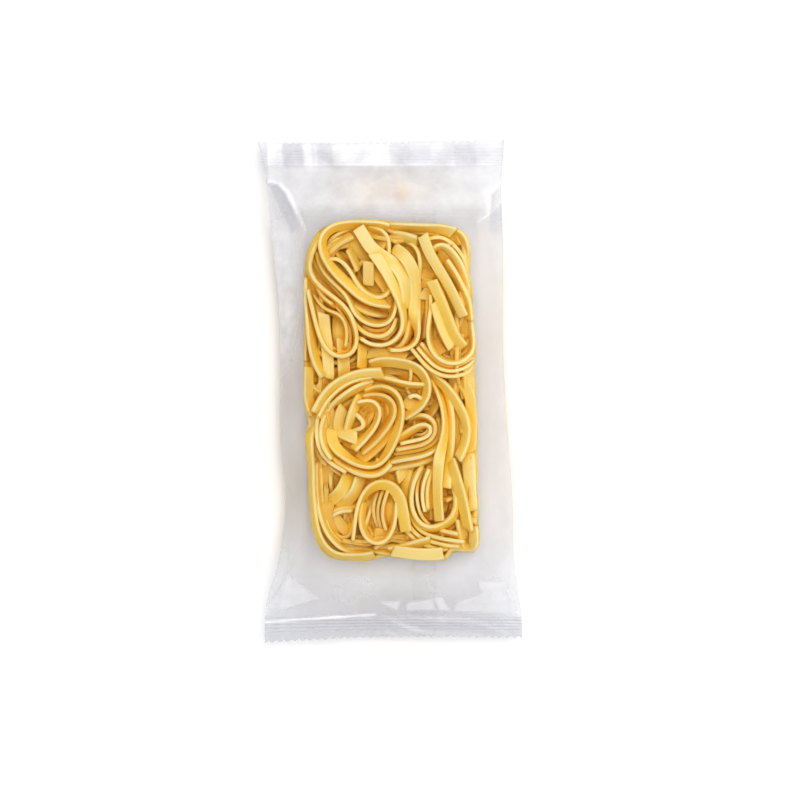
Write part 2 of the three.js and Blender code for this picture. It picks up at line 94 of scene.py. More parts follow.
def smooth_way(way):
    """Places every STEP on a smooth curve through the points of a way, and how far along each is."""
    points = np.asarray(way, float)
    ends = [2 * points[0] - points[1]], [2 * points[-1] - points[-2]]
    padded = np.vstack([ends[0], points, ends[1]])
    share = np.linspace(0, 1, CURVE_STEPS, endpoint=False)[:, None]
    stretches = []
    for a, b, c, d in zip(padded, padded[1:], padded[2:], padded[3:]):
        bend = (2 * a - 5 * b + 4 * c - d) * share**2 + (3 * b - a - 3 * c + d) * share**3
        stretches.append(0.5 * (2 * b + (c - a) * share + bend))
    dense = np.vstack([*stretches, points[-1:]])
    travelled = np.concatenate([[0], np.cumsum(np.hypot(*np.diff(dense, axis=0).T))])
    along = np.linspace(0, travelled[-1], max(5, round(travelled[-1] / STEP)) + 1)
    return np.column_stack([np.interp(along, travelled, dense[:, i]) for i in (0, 1)]), along


def eased(values, reach, ends="edge"):
    """The values along a way, smoothed over a reach in millimetres."""
    spread = reach / STEP
    side = min(len(values) - 1, math.ceil(2 * spread))
    weight = np.exp(-0.5 * (np.arange(-side, side + 1) / spread) ** 2)
    more = {"reflect_type": "odd"} if ends == "reflect" else {}
    padded = np.pad(values, side, mode=ends, **more)
    return np.convolve(padded, weight / weight.sum(), mode="valid")


def turned_size(width, thickness, roll):
    """Half the width in plan and the whole height of a ribbon that is turned by roll."""
    flat, on_edge = np.abs(np.cos(roll)), np.abs(np.sin(roll))
    straight_width, straight_thickness = width - 2 * NOODLE_CORNER, thickness - 2 * NOODLE_CORNER
    wide = straight_width * flat + straight_thickness * on_edge + 2 * NOODLE_CORNER
    tall = straight_width * on_edge + straight_thickness * flat + 2 * NOODLE_CORNER
    return wide / 2, tall


def pressed_face(spots):
    """The height of the face that the film presses almost flat, a little lower round the rim."""
    away = np.abs(spots - block_middle.xy) / block_half.xy
    return block_top - RIM_DIP * np.clip(away.max(axis=1), 0, 1) ** 6


rim_spots, rim_length = smooth_way(BLOCK_RIM + BLOCK_RIM[:1])
rim_ahead = np.column_stack([eased(np.gradient(rim_spots[:, i]), RIM_EASE, "wrap") for i in (0, 1)])
rim_out = np.column_stack([rim_ahead[:, 1], -rim_ahead[:, 0]]) / np.linalg.norm(rim_ahead, axis=1)[:, None]


def inside_rim(spots, wide):
    """Places moved inside the block's rim by half a noodle's width."""
    nearest = np.argmin(np.hypot(*(spots[:, None] - rim_spots[None]).transpose(2, 0, 1)), axis=1)
    inward = ((rim_spots[nearest] - spots) * rim_out[nearest]).sum(axis=1)
    return spots - rim_out[nearest] * np.maximum(RIM_ROOM + wide - inward, 0)[:, None]


# The painted shade of the pasta: its colour is turned amber where the noodles round a place close it in.
CREST_PLACES = 10  # across a noodle
CELL = 0.8  # of the grid of heights that tells how closed in a place is
EMPTY = -99.0  # the height of a cell that no noodle covers
LOOK_ROUND = (0.9, 2.0, 3.6)  # how far round a place its neighbours shade it
LOOK_WAYS = 8  # in which they are looked for
LOOK_SLOPE = 1.3  # how steeply a neighbour must rise to shade a place fully
SIDE_FACE_SHADE = 0.3  # how much more amber a face turned to the side is painted, as painted shade


def crest_of(noodle):
    """Places all over the upper face of a noodle."""
    count = len(noodle["spine"])
    at = np.linspace(0, count - 1, 2 * count)
    spine = np.column_stack([np.interp(at, np.arange(count), noodle["spine"][:, i]) for i in range(3)])
    roll = np.interp(at, np.arange(count), noodle["roll"])[:, None]
    half_width, half_thickness = noodle["half"]
    ahead = np.gradient(spine[:, :2], axis=0)
    length = np.maximum(np.linalg.norm(ahead, axis=1)[:, None], 1e-6)
    right = np.column_stack([ahead[:, 1], -ahead[:, 0]]) / length
    across = np.linspace(-half_width, half_width, CREST_PLACES)
    aside = (across * np.cos(roll))[..., None] * right[:, None, :]
    rise = across * np.sin(roll) + half_thickness * np.abs(np.cos(roll))
    return np.dstack([spine[:, None, :2] + aside, spine[:, None, 2] + rise]).reshape(-1, 3)


class Side:
    """One side of the block, with noodles laid on it from the outside in. Places on it are
    millimetres across it, along it and out of it; place() puts them in space."""

    def __init__(self, face, hold_in, place=lambda points: points, around=None):
        self.face, self.place, self.around = face, place, around
        self.hold_in = hold_in  # moves places back inside the rim that no noodle crosses
        self.laid = np.zeros((0, 6))  # across, along, half width, underside, top, heading
        self.noodles = []

    def room_under(self, spots, wide, press):
        """The height that the noodles laid so far leave free under them at each spot."""
        gap = spots[:, None, :] - self.laid[None, :, :2]
        if self.around:
            gap[..., 0] -= self.around * np.round(gap[..., 0] / self.around)
        apart = np.hypot(gap[..., 0], gap[..., 1])
        over = apart < OVERLAP * (wide[:, None] + self.laid[None, :, 2])
        underside = self.laid[:, 3] + np.minimum(press, PRESS_SHARE * (self.laid[:, 4] - self.laid[:, 3]))
        return np.where(over, underside, np.inf).min(axis=1, initial=np.inf)

    def closed_in(self, points):
        """How far each place is closed in by the noodles round it: 0 in the open, 1 in a deep gap."""
        crests = np.vstack([crest_of(noodle) for noodle in self.noodles])
        corner = crests[:, :2].min(axis=0) - LOOK_ROUND[-1] - 2 * CELL
        reach_over = crests[:, :2].max(axis=0) + LOOK_ROUND[-1] - corner
        tops = np.full(np.ceil(reach_over / CELL).astype(int) + 3, EMPTY)
        column, row = ((crests[:, :2] - corner) / CELL).astype(int).T
        np.maximum.at(tops, (column, row), crests[:, 2])
        inner = tops[1:-1, 1:-1]
        beside = np.max([tops[:-2, 1:-1], tops[2:, 1:-1], tops[1:-1, :-2], tops[1:-1, 2:]], axis=0)
        tops[1:-1, 1:-1] = np.where(inner == EMPTY, beside, inner)
        shade = np.zeros(len(points))
        for reach in LOOK_ROUND:
            for turn in np.radians(np.arange(0, 360, 360 / LOOK_WAYS) + 8 * reach):
                looked_at = points[:, :2] + reach * np.array([math.cos(turn), math.sin(turn)])
                spot = (looked_at - corner) / CELL
                column, row = np.clip(spot.astype(int), 0, np.array(tops.shape) - 1).T
                shade += np.clip((tops[column, row] - points[:, 2]) / (LOOK_SLOPE * reach), 0, 1)
        return shade / (LOOK_WAYS * len(LOOK_ROUND))

    def lay(self, way, rolls, chance, aside=0.0, depth=0.0, press=PRESS, sink=SINK):
        """Lays one noodle along a way. rolls are its turn from end to end: 0 lies flat and 90 stands
        on edge. It lies at that depth or lower, but no further below the face than it may sink."""
        spots, along = smooth_way(way)
        spots = np.column_stack([eased(spots[:, i], WAY_EASE, "reflect") for i in (0, 1)])
        ahead = np.gradient(spots, axis=0)
        ahead /= np.linalg.norm(ahead, axis=1)[:, None]
        spots += np.column_stack([-ahead[:, 1], ahead[:, 0]]) * aside
        width = NOODLE_WIDTH * chance.uniform(*WIDTHS)
        thickness = NOODLE_THICKNESS * chance.uniform(*THICKNESSES)
        roll = np.radians(np.interp(along / along[-1], np.linspace(0, 1, len(rolls)), rolls))
        roll = eased(roll, ROLL_EASE)
        wide, tall = turned_size(width, thickness, roll)
        spots = self.hold_in(spots, wide + chance.uniform(0, RIM_LOOSE))
        spots = np.column_stack([eased(spots[:, i], HELD_EASE, "reflect") for i in (0, 1)])
        face = self.face(spots)
        limit = np.maximum(np.minimum(face - depth, self.room_under(spots, wide, press)), face - sink)
        top = limit.copy()
        for reach in TOP_EASE:
            top = eased(np.minimum(top, limit), reach)
        top = np.maximum(top, face - sink)
        heading = np.arctan2(ahead[:, 1], ahead[:, 0])
        self.laid = np.vstack([self.laid, np.column_stack([spots, wide, top - tall, top, heading])])
        cuts = np.tan(np.radians(chance.uniform(-CUT_SLANT, CUT_SLANT, 2)))
        self.noodles.append({
            "spine": np.column_stack([spots, top - tall / 2]),
            "along": along,
            "roll": roll + ROLL_WAVER * np.sin(along / 7 + chance.uniform(0, 6)),
            "half": (width / 2, thickness / 2),
            "cuts": cuts,
            "tint": chance.uniform(),
            "bow": chance.normal(0, BOW),
        })


def section(half_width, half_thickness, corner_points):
    """The section of a ribbon with round edges: how far across and above its middle each point is,
    and how much it faces aside and up there."""
    turn = np.radians(np.linspace(0, 90, corner_points))
    edge = np.column_stack([np.cos(turn), np.sin(turn)])
    spots = NOODLE_CORNER * edge + [half_width - NOODLE_CORNER, half_thickness - NOODLE_CORNER]
    right = np.hstack([np.vstack([spots, [[0, half_thickness]]]), np.vstack([edge, [[0, 1]]])])
    left = right[-2::-1] * [-1, 1, -1, 1]
    top = np.vstack([right, left])
    return np.vstack([top, -top]).T


def ribbon(noodle, detail=FINE):
    """The corners and faces of one ribbon with round edges and cut ends, and for each corner how
    far along and across the ribbon it is, the noodle's tint, and how much it faces aside."""
    corner_points, stride = detail
    spine, along, roll = noodle["spine"], noodle["along"], noodle["roll"]
    half_width = noodle["half"][0]
    across, above, facing_aside, facing_up = section(*noodle["half"], corner_points)
    above = above + noodle["bow"] * (1 - (across / half_width) ** 2)
    width_now = 1 + WIDTH_WAVER * np.sin(along / 9 + 40 * noodle["tint"]) * np.cos(along / 23)
    last_ring = len(spine) - 1
    rings = np.concatenate([[0], np.arange(0, last_ring, stride), [last_ring, last_ring]])
    size = np.ones(len(rings))
    size[[0, -1]] = END_SIZE
    ahead = np.gradient(spine, axis=0)
    ahead /= np.linalg.norm(ahead, axis=1)[:, None]
    left = np.column_stack([-ahead[:, 1], ahead[:, 0], np.zeros(len(spine))])
    left /= np.linalg.norm(left, axis=1)[:, None]
    up = np.cross(ahead, left)
    cos, sin = np.cos(roll)[:, None], np.sin(roll)[:, None]
    aside = width_now[:, None] * across * cos - above * sin
    rise = width_now[:, None] * across * sin + above * cos
    from_start = np.clip(1 - along / CUT_LENGTH, 0, 1)[:, None] * noodle["cuts"][0]
    from_end = np.clip(1 - (along[-1] - along) / CUT_LENGTH, 0, 1)[:, None] * noodle["cuts"][1]
    slant = (from_start + from_end) * across
    points = (
        spine[rings, None, :]
        - left[rings, None, :] * (size[:, None] * aside[rings])[..., None]
        + up[rings, None, :] * (size[:, None] * rise[rings])[..., None]
        + ahead[rings, None, :] * slant[rings][..., None]
    )
    points[0] -= ahead[0] * END_ROUND
    points[-1] += ahead[-1] * END_ROUND
    middles = points[[0, -1]].mean(axis=1)
    count = len(across)
    ring = np.arange(len(rings) - 1)[:, None] * count
    here = np.arange(count)
    after = (here + 1) % count
    quads = np.stack([ring + here, ring + after, ring + count + after, ring + count + here], axis=-1)
    first, last = len(rings) * count, len(rings) * count + 1
    tail = (len(rings) - 1) * count
    faces = [
        *quads.reshape(-1, 4).tolist(),
        *([first, b, a] for a, b in zip(here, after)),
        *([last, tail + a, tail + b] for a, b in zip(here, after)),
    ]
    grain = np.zeros((len(rings), count, 4))
    grain[..., 0] = along[rings][:, None]
    grain[..., 1] = across
    grain[..., 2] = noodle["tint"]
    grain[..., 3] = 1 - np.clip(facing_aside * sin + facing_up * cos, 0, 1)[rings]
    ends = np.array([[along[0], 0, noodle["tint"], 0.5], [along[-1], 0, noodle["tint"], 0.5]])
    return np.vstack([points.reshape(-1, 3), middles]), faces, np.vstack([grain.reshape(-1, 4), ends])


def smooth_mesh(name, points, faces, **values):
    """A smoothly shaded mesh from points in millimetres, with the named values at each point."""
    mesh = bpy.data.meshes.new(name)
    mesh.from_pydata((np.asarray(points) * MM).tolist(), [], faces)
    for attribute, value in values.items():
        kind, field = ("FLOAT", "value") if np.ndim(value) == 1 else ("FLOAT_VECTOR", "vector")
        mesh.attributes.new(attribute, kind, "POINT").data.foreach_set(field, np.ravel(value))
    mesh.polygons.foreach_set("use_smooth", np.ones(len(mesh.polygons), bool))
    mesh.update()
    return mesh


def in_scene(name, mesh, material):
    """A piece with that mesh and material, put in the scene."""
    mesh.materials.append(material)
    piece = bpy.data.objects.new(name, mesh)
    bpy.context.scene.collection.objects.link(piece)
    return piece


def joined_noodles(name, side, noodles, material, detail=FINE):
    """One piece of many noodles on a side of the block."""
    points, faces, grain, start = [], [], [], 0
    for noodle in noodles:
        own, own_faces, own_grain = ribbon(noodle, detail)
        points.append(own)
        grain.append(own_grain)
        faces.extend([start + corner for corner in face] for face in own_faces)
        start += len(own)
    points, grain = np.vstack(points), np.vstack(grain)
    # Painted shade: amber where the neighbours close a place in and where a face is turned aside.
    golden = side.closed_in(points) + SIDE_FACE_SHADE * grain[:, 3]
    mesh = smooth_mesh(name, side.place(points), faces, grain=grain[:, :3], golden=golden)
    piece = in_scene(name, mesh, material)
    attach(piece, "root")
    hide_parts("noodle_block")


# Each row is a noodle, or a few side by side: its name, how it is turned from its first end to its
# last, how many there are, and its way over the face. The uppermost come first. A noodle turned by
# more than 0 has its right edge up, as seen along its way, and shows its face on the left.
SHOWING = [
    ("second cut end", (0, 8, 20, 45, 70, 80, 85, 85, 85), 1,
     [(-7.2, 64.6), (-4.3, 60.5), (-1.6, 56), (1, 51), (3.4, 46.2), (5.2, 41.5), (6.5, 36.5),
      (6.9, 31.5), (5.6, 27), (2.8, 23.6), (-1.5, 21.4), (-6.5, 21.3), (-11, 22.6), (-14.2, 25)]),
    ("first cut end", (0, 0, 15, 20, 30, 50), 1,
     [(-14.8, 77), (-12, 72.5), (-10, 69), (-7, 65.8), (-2, 62.8), (2.5, 59.5), (5.4, 55.5),
      (7.2, 50.5), (7.8, 45), (7.4, 39)]),
    ("crown", (65, 60, 55, 60, 65, 60, 45, 40, 42, 50, 55), 1,
     [(-0.5, 77.5), (-5, 79.8), (-12, 80.4), (-20, 79.4), (-27, 77.2), (-31.6, 73), (-32, 67),
      (-29, 60.5), (-24.5, 55), (-19, 50), (-13.5, 45), (-7, 41.8), (-1, 41)]),
    ("teardrop", (80, 85, 80, 75, 70), 1,
     [(-30.5, 60.5), (-28.8, 62.9), (-25.5, 63), (-22, 61), (-18.6, 57), (-15.6, 51.6), (-12, 47.4),
      (-7.5, 44.8), (-3.5, 44.4), (-0.5, 47), (1.2, 51)]),
    ("long bend", (-60, -70, -75, -80, -75, -80, -85, -80), 1,
     [(-34.5, 75.5), (-38, 69), (-39.2, 61), (-37, 53.5), (-32.5, 48.2), (-27, 44), (-22, 39.8),
      (-18.6, 35), (-16.6, 29), (-15.8, 23), (-17.6, 18.2), (-21.5, 16.3), (-25.5, 16.6), (-29.3, 19.5),
      (-32.3, 24.5), (-34.4, 31), (-36.4, 39), (-38.5, 48)]),
    ("coil", (50, 60, 65, 70, 75, 75), 1,
     [(-33.5, 66), (-32.5, 60), (-29, 54.8), (-25, 50.5), (-20.5, 46), (-18, 41), (-16, 36.5),
      (-12, 33), (-6.5, 31.2), (-1.5, 31.8), (1.5, 35.5), (2.8, 42)]),
    ("coil under it", (75, 80, 80), 1,
     [(-20, 39), (-17.5, 34.5), (-14.5, 30), (-11, 27.2), (-6.5, 25.8), (-2, 26.3), (1, 29.5), (2.6, 35)]),
    ("inside of the crown", (-50, -65, -75), 1,
     [(-11, 76.8), (-6.5, 76.6), (-2.8, 74.6), (-0.9, 71), (-1, 66.5)]),
    ("nine", (0, 0, 10, 20, 60, -80, -80, -85, -85), 1,
     [(2, 67.5), (6.3, 64.6), (9.6, 60), (11.7, 54.5), (12.3, 48.5), (12, 43), (11.6, 38.5), (11.9, 34),
      (13.2, 29.5), (13.5, 25.5), (11.8, 21.8), (8, 19.7), (3.5, 19), (-0.5, 19.4)]),
    ("diagonal", (-10, -25, -30, -30), 1,
     [(15.8, 73.4), (17.6, 68), (20.3, 62.4), (23.6, 57), (27, 51.3), (30, 45.6), (32.7, 40),
      (34.8, 35.2)]),
    ("flat diagonal", (-25, -35, -40), 1,
     [(20, 52), (22.6, 46.5), (25, 41), (27.3, 35), (29.5, 29.3), (32, 24), (35, 20.8)]),
    ("face of the flat diagonal", (25, 20, 15), 1,
     [(21.4, 42), (22.8, 36.5), (24.6, 31), (26.8, 25.6), (29.5, 20.6)]),
    ("diagonal's second", (-60, -65, -60, -50), 1,
     [(26.6, 61), (29.8, 56.5), (32.6, 51.5), (35, 46.5), (37, 41.5), (38.2, 37), (38.6, 34.2)]),
    ("wide bend", (-60, -70, -75, -75, -80, -80), 1,
     [(36, 45), (38.2, 40), (39.6, 34), (40.6, 28), (40.4, 22.5), (38.6, 17.8), (35, 14.4), (30.5, 13),
      (26, 13.8), (22, 16.6), (19.4, 20.6), (18.3, 25), (18.4, 30), (19.2, 36), (19.8, 42), (19.6, 47)]),
    ("bends round it", (80, 80, 80), 3,
     [(15.3, 22.4), (18.6, 18.4), (21.8, 14.8), (25.8, 12.2), (30.5, 11.9), (35, 13.4), (38.4, 16.2)]),
    ("far bar", (-55, -60, -55, -30), 1,
     [(0, 77.8), (6, 78), (13, 77.7), (20, 77.6), (26, 77.8), (31, 76.8)]),
    ("bar under it", (-40, -45, -50), 1, [(0.5, 73.8), (5, 73.3), (9, 72.3), (13, 71)]),
    ("right loop", (-70, -60, -50, -40, -40), 1,
     [(20.5, 66.5), (22.5, 68.8), (25.5, 68.8), (28.5, 66.3), (31.5, 62.3), (34, 57), (35.8, 51),
      (36.8, 45)]),
    ("loop round it", (-70, -75, -75, -70), 1,
     [(18.5, 71), (22, 72.4), (26, 71.6), (29.8, 68.8), (33.4, 64.4), (36, 58.4), (37.4, 51.5),
      (38.2, 45)]),
    ("far corner", (-60, -60, -50, -60), 1,
     [(31.5, 77.2), (34.8, 75.6), (36.6, 71.5), (37.3, 65), (37.8, 58.5), (39, 52), (39.6, 45)]),
    ("inside the corner", (-60, -50), 1, [(29, 75.2), (31.6, 73.2), (32.6, 69.5)]),
    ("small loop", (-60, -75, -80, -70), 1,
     [(4, 70), (8.5, 70), (12, 68), (13.8, 63.5), (13.9, 58), (13, 52.5)]),
    ("cut end over the ring", (40, 35, 45, 60, 65), 1,
     [(-3.4, 8.4), (-9, 8.4), (-15, 7.6), (-20.5, 5.6), (-26, 2.6), (-30, -1), (-33, -5.5),
      (-35.4, -10.2)]),
    ("bundle between", (75, 75, 70), 1,
     [(-8.6, 5.9), (-14.5, 5.1), (-20.5, 2.5), (-26, -1.6), (-30.4, -6.8), (-33.2, -13)]),
    ("bundle over the ring", (60, 65, 65, 70), 1,
     [(-8.6, 3.4), (-15, 1.4), (-20.5, -1.9), (-25.5, -5.8), (-29.4, -10.6), (-31.6, -16.5),
      (-31.7, -22.5), (-30.1, -27.8), (-27, -32)]),
    ("outside of the ring", (85, 85, 80), 1,
     [(-33.5, -10.5), (-34.4, -16), (-34.4, -22), (-33.2, -27.5), (-30.3, -32), (-26.5, -35.3),
      (-21.5, -38)]),
    ("ring", (15, 25, 50, 70, 75, 60, 45, 50, 65, 70, 60, 55), 1,
     [(-27.8, -18.5), (-27.6, -23.5), (-24.8, -28), (-20, -31.6), (-15, -34.6), (-9.8, -35.8),
      (-5, -34.6), (-1.8, -30.8), (0.8, -26), (3, -20.5), (4.8, -15), (5.4, -9.5), (4.6, -4.2),
      (1.8, -0.3), (-2.5, 1.3), (-7.5, 1), (-12, -1.2)]),
    ("foot of the ring", (60, 65, 70), 1,
     [(-28, -29.5), (-23.5, -33.8), (-18, -37.2), (-12.5, -39.3), (-7, -39.8), (-2.5, -37.8), (0.5, -34)]),
    ("loop in the ring", (-75, -75, -70, -60, -50), 1,
     [(-14.5, -6), (-10.5, -5), (-7, -5.6), (-5.2, -8.6), (-5.3, -12.5), (-7, -16.5), (-10, -20.5),
      (-13.3, -24), (-17, -27.5)]),
    ("stub in the ring", (60, 20, 0), 1, [(-28, -19), (-22, -20.3), (-15.3, -22.8)]),
    ("upright in the ring", (50, 45, 50), 1,
     [(-14.2, -2.5), (-16.8, -8), (-18.6, -13.5), (-19.8, -18.5)]),
    ("fold in the ring", (75, 80, 60), 1,
     [(-16.5, -10), (-13, -13), (-10.6, -16.2), (-13, -18.6), (-17, -20)]),
    ("arch", (-45, -50, -50, -55, -55, -50), 1,
     [(-9, 12.2), (-4.5, 13.8), (1, 13.6), (6, 12.9), (10.5, 11.8), (14.5, 9.4), (17, 5.8), (18, 1.5),
      (17.2, -3), (14.8, -7), (11, -9.8), (7, -12)]),
    ("second arch", (-60, -50, -45, -50, -50, -40), 1,
     [(14.5, 12), (18, 9.2), (21.5, 6), (25.5, 2.8), (29.2, -1.5), (32.3, -6.5), (35, -11.5),
      (36.4, -17), (36.3, -22.5), (34.8, -27.5), (32.5, -32)]),
    ("arch outside it", (-15, -20, -20), 1,
     [(33.5, 5), (37.2, 0), (39.4, -7), (40.2, -14), (40.3, -22), (39.8, -29)]),
    ("thin strand", (-70, -70), 1, [(-8, 6), (-2, 5.6), (4, 3.8), (9, 2.6), (15.5, 2.2)]),
    ("curl", (85, 85), 1, [(8.9, -3.2), (10.3, -1.6), (12.6, -1.5), (14.6, -3.4)]),
    ("right upright", (-35, -40, -45), 1,
     [(29, -33.5), (31.3, -41), (33.6, -49), (35.5, -57), (37.2, -65.5)]),
    ("middle upright", (70, 70, 65, 60, 40, -20, -35, -40, -40), 1,
     [(20.5, 5), (23.3, -1), (25.2, -7), (26.2, -13), (26.3, -19), (25.2, -25), (23.6, -30.5),
      (22.9, -37), (22.7, -45), (22.9, -53), (23.6, -61.5)]),
    ("middle upright's second", (-70, -65, -60, -45, -15, -15), 1,
     [(24.8, 2.5), (27.4, -3.5), (28.9, -9.5), (29.3, -15.5), (29.1, -21.5), (28.4, -27), (27.6, -33),
      (26.9, -39), (26.5, -46)]),
    ("cut end of the nest", (-45, -60, -80, -90, -90, -85), 1,
     [(3.6, -23.6), (8, -20.6), (12, -17.9), (16, -16), (19, -16.2), (20, -18.8), (18.6, -21.6),
      (15, -23.1), (10.5, -23.9), (6, -25)]),
    ("nest", (-70, -75, -80), 1,
     [(8.5, -14.6), (12.5, -12.2), (16.5, -11.8), (20, -13.6), (21.7, -17.2), (20.9, -21.4),
      (17.6, -24.4), (13, -25.8), (8, -26.6), (3.5, -27.5)]),
    ("nest's round", (-80, -80, -80), 1,
     [(22.6, -13.5), (23.7, -18.3), (22.5, -22.8), (19, -26.2), (14, -28.1), (8.5, -29), (3, -29.7)]),
    ("nest's foot", (-75, -75, -65), 1,
     [(25, -18), (24.8, -23.4), (21.8, -27.6), (16.6, -30.4), (11, -31.6), (5.5, -32.3), (1, -33.3)]),
    ("under the nest", (-50, -55), 1, [(20.5, -31), (15, -33.4), (9, -34.8), (3, -35.8), (-2, -37.2)]),
    ("left bundle", (-55, -60, -65, -65, -60, -50), 1,
     [(-38.4, -18), (-38.6, -27), (-38, -37), (-37.5, -47), (-36.5, -57), (-34.8, -65.5),
      (-31.8, -72.4), (-27.4, -77), (-21, -79.2), (-14, -79.8), (-8, -79.6)]),
    ("left bundle's second", (75, 75, 70, 65, 60), 1,
     [(-34.3, -34), (-34.2, -44), (-33.4, -53.5), (-31.6, -61.5), (-28.3, -68.5), (-23.6, -73.6),
      (-18, -76.4), (-12.6, -77.6), (-7.6, -78)]),
    ("left bundle's third", (70, 75, 70), 1,
     [(-31.9, -37), (-31.6, -46), (-31, -54), (-29.9, -61), (-27.4, -66.6), (-23.6, -71), (-19, -73),
      (-14, -74)]),
    ("oval", (-85, -85, -80, -60, -35, -25, -25, -30), 1,
     [(-17.2, -70.6), (-16.4, -64), (-15.4, -57.5), (-13, -51), (-9, -46), (-3.8, -44), (1.3, -45.6),
      (4.6, -50), (6, -55.5), (6.9, -61), (7.9, -66.6)]),
    ("foot of the oval", (60, 60, 70, 80, 75, 70), 1,
     [(-12.2, -53), (-13.2, -60), (-12.6, -65.8), (-10, -70.3), (-5.8, -72.2), (-1.8, -70.6), (1, -66),
      (2.2, -60.5), (2.6, -54)]),
    ("near bend", (-80, -80, -75, -65, -60, -60, -60, -55), 1,
     [(14.5, -36.5), (11.4, -42), (10, -48.5), (10, -54.5), (12, -60.5), (15.8, -64.8), (20.6, -65.6),
      (26, -63.8), (30.3, -60.2), (32.4, -54.5), (31.8, -48), (29.8, -41.5), (27.8, -35.5),
      (26.6, -31.5)]),
    ("bend in it", (-85, -85), 1,
     [(16, -36.5), (13.5, -42), (12.5, -48), (12.9, -54), (15, -60.5), (18.5, -64)]),
    ("second bend in it", (-85, -80), 1,
     [(18.2, -37), (15.9, -42.5), (15, -48), (15.3, -54), (16.3, -57.2)]),
    ("third bend in it", (-80, -75), 1, [(19.3, -38.5), (17.5, -44), (16.9, -50), (17.3, -55.5)]),
    ("near left flat", (20, 15, 10), 1,
     [(-19.5, -39.5), (-21.5, -45), (-24, -49), (-28, -52), (-31, -53.5)]),
    ("near left second", (40, 30), 1,
     [(-14, -40.5), (-15.5, -46), (-18, -50.5), (-21.5, -53), (-25, -54.5)]),
    ("near middle", (20, 10), 1, [(10.5, -34.5), (6.6, -38.5), (3.5, -41.5)]),
    ("beside the oval", (-30, -40), 1, [(9, -37), (7.6, -42), (8, -48), (9.3, -54)]),
    ("under the oval", (80, 80), 1, [(-29.3, -60.5), (-26, -57.8), (-21.5, -56.6), (-17, -56.6)]),
    ("left inner loop", (75, 80, 70), 1,
     [(-28.5, -61), (-27.2, -66), (-24, -69.3), (-20.5, -69.5), (-18.2, -66.5), (-17.8, -62)]),
    ("near fold", (-15, -10, -10, 0), 1,
     [(1.5, -77.4), (6, -78.2), (12, -78.5), (18, -78.3), (22, -78), (25.5, -77.8)]),
    ("near slant", (-50, -60), 1, [(0.5, -75.8), (7, -74.6), (13, -72.7), (19, -71)]),
    ("near sweep", (-85, -85, -80, -80), 3,
     [(9.6, -57.5), (11.2, -62.5), (14.8, -66.9), (20.5, -69.4), (27.5, -71), (34, -71.8)]),
    ("near short", (-70, -70), 1, [(23.5, -66.8), (28, -67.8), (32.5, -68.6)]),
    ("corner fold", (55, 45, 35, 35, 50), 1,
     [(33.4, -62), (34.3, -67.5), (35.2, -72.5), (37.6, -75.6), (40.6, -75.2), (42, -71.8),
      (41.4, -67.8), (39.6, -64.5)]),
    ("right flat", (-20, -15, -20), 1, [(37.4, -29), (37.5, -35), (38, -42), (38.8, -50), (39.3, -57)]),
    ("right edge near", (-60, -60), 1,
     [(38.8, -47.5), (41.4, -49.2), (42.2, -53), (40.9, -57), (39.6, -61)]),
    ("right edge", (-60, -65, -60), 1,
     [(40.9, -11), (41.5, -20), (41.5, -30), (41.6, -40), (40.8, -47)]),
    ("right edge far", (-60, -65, -60), 1, [(40.2, 16), (41, 9), (41.2, 2), (40.8, -4), (39.8, -9)]),
    ("left edge", (60, 65, 60, 50), 1,
     [(-40.6, 53.5), (-39.9, 46), (-38.6, 38), (-37.6, 30), (-36.9, 23), (-35.8, 17), (-33.8, 11.5),
      (-31, 6.8)]),
    ("left edge's foot", (40, 40, 45), 1,
     [(-38.8, 11), (-39.2, 4), (-38.9, -2), (-37.8, -7.5), (-36.3, -10.5)]),
    ("flat in the long bend", (10, 5, 10), 1,
     [(-31.5, 36.5), (-30.6, 28), (-29.6, 20), (-29, 12), (-29, 6)]),
    ("upright by the arch", (40, 35), 1, [(-13, 21.5), (-13, 16), (-13.3, 10)]),
]
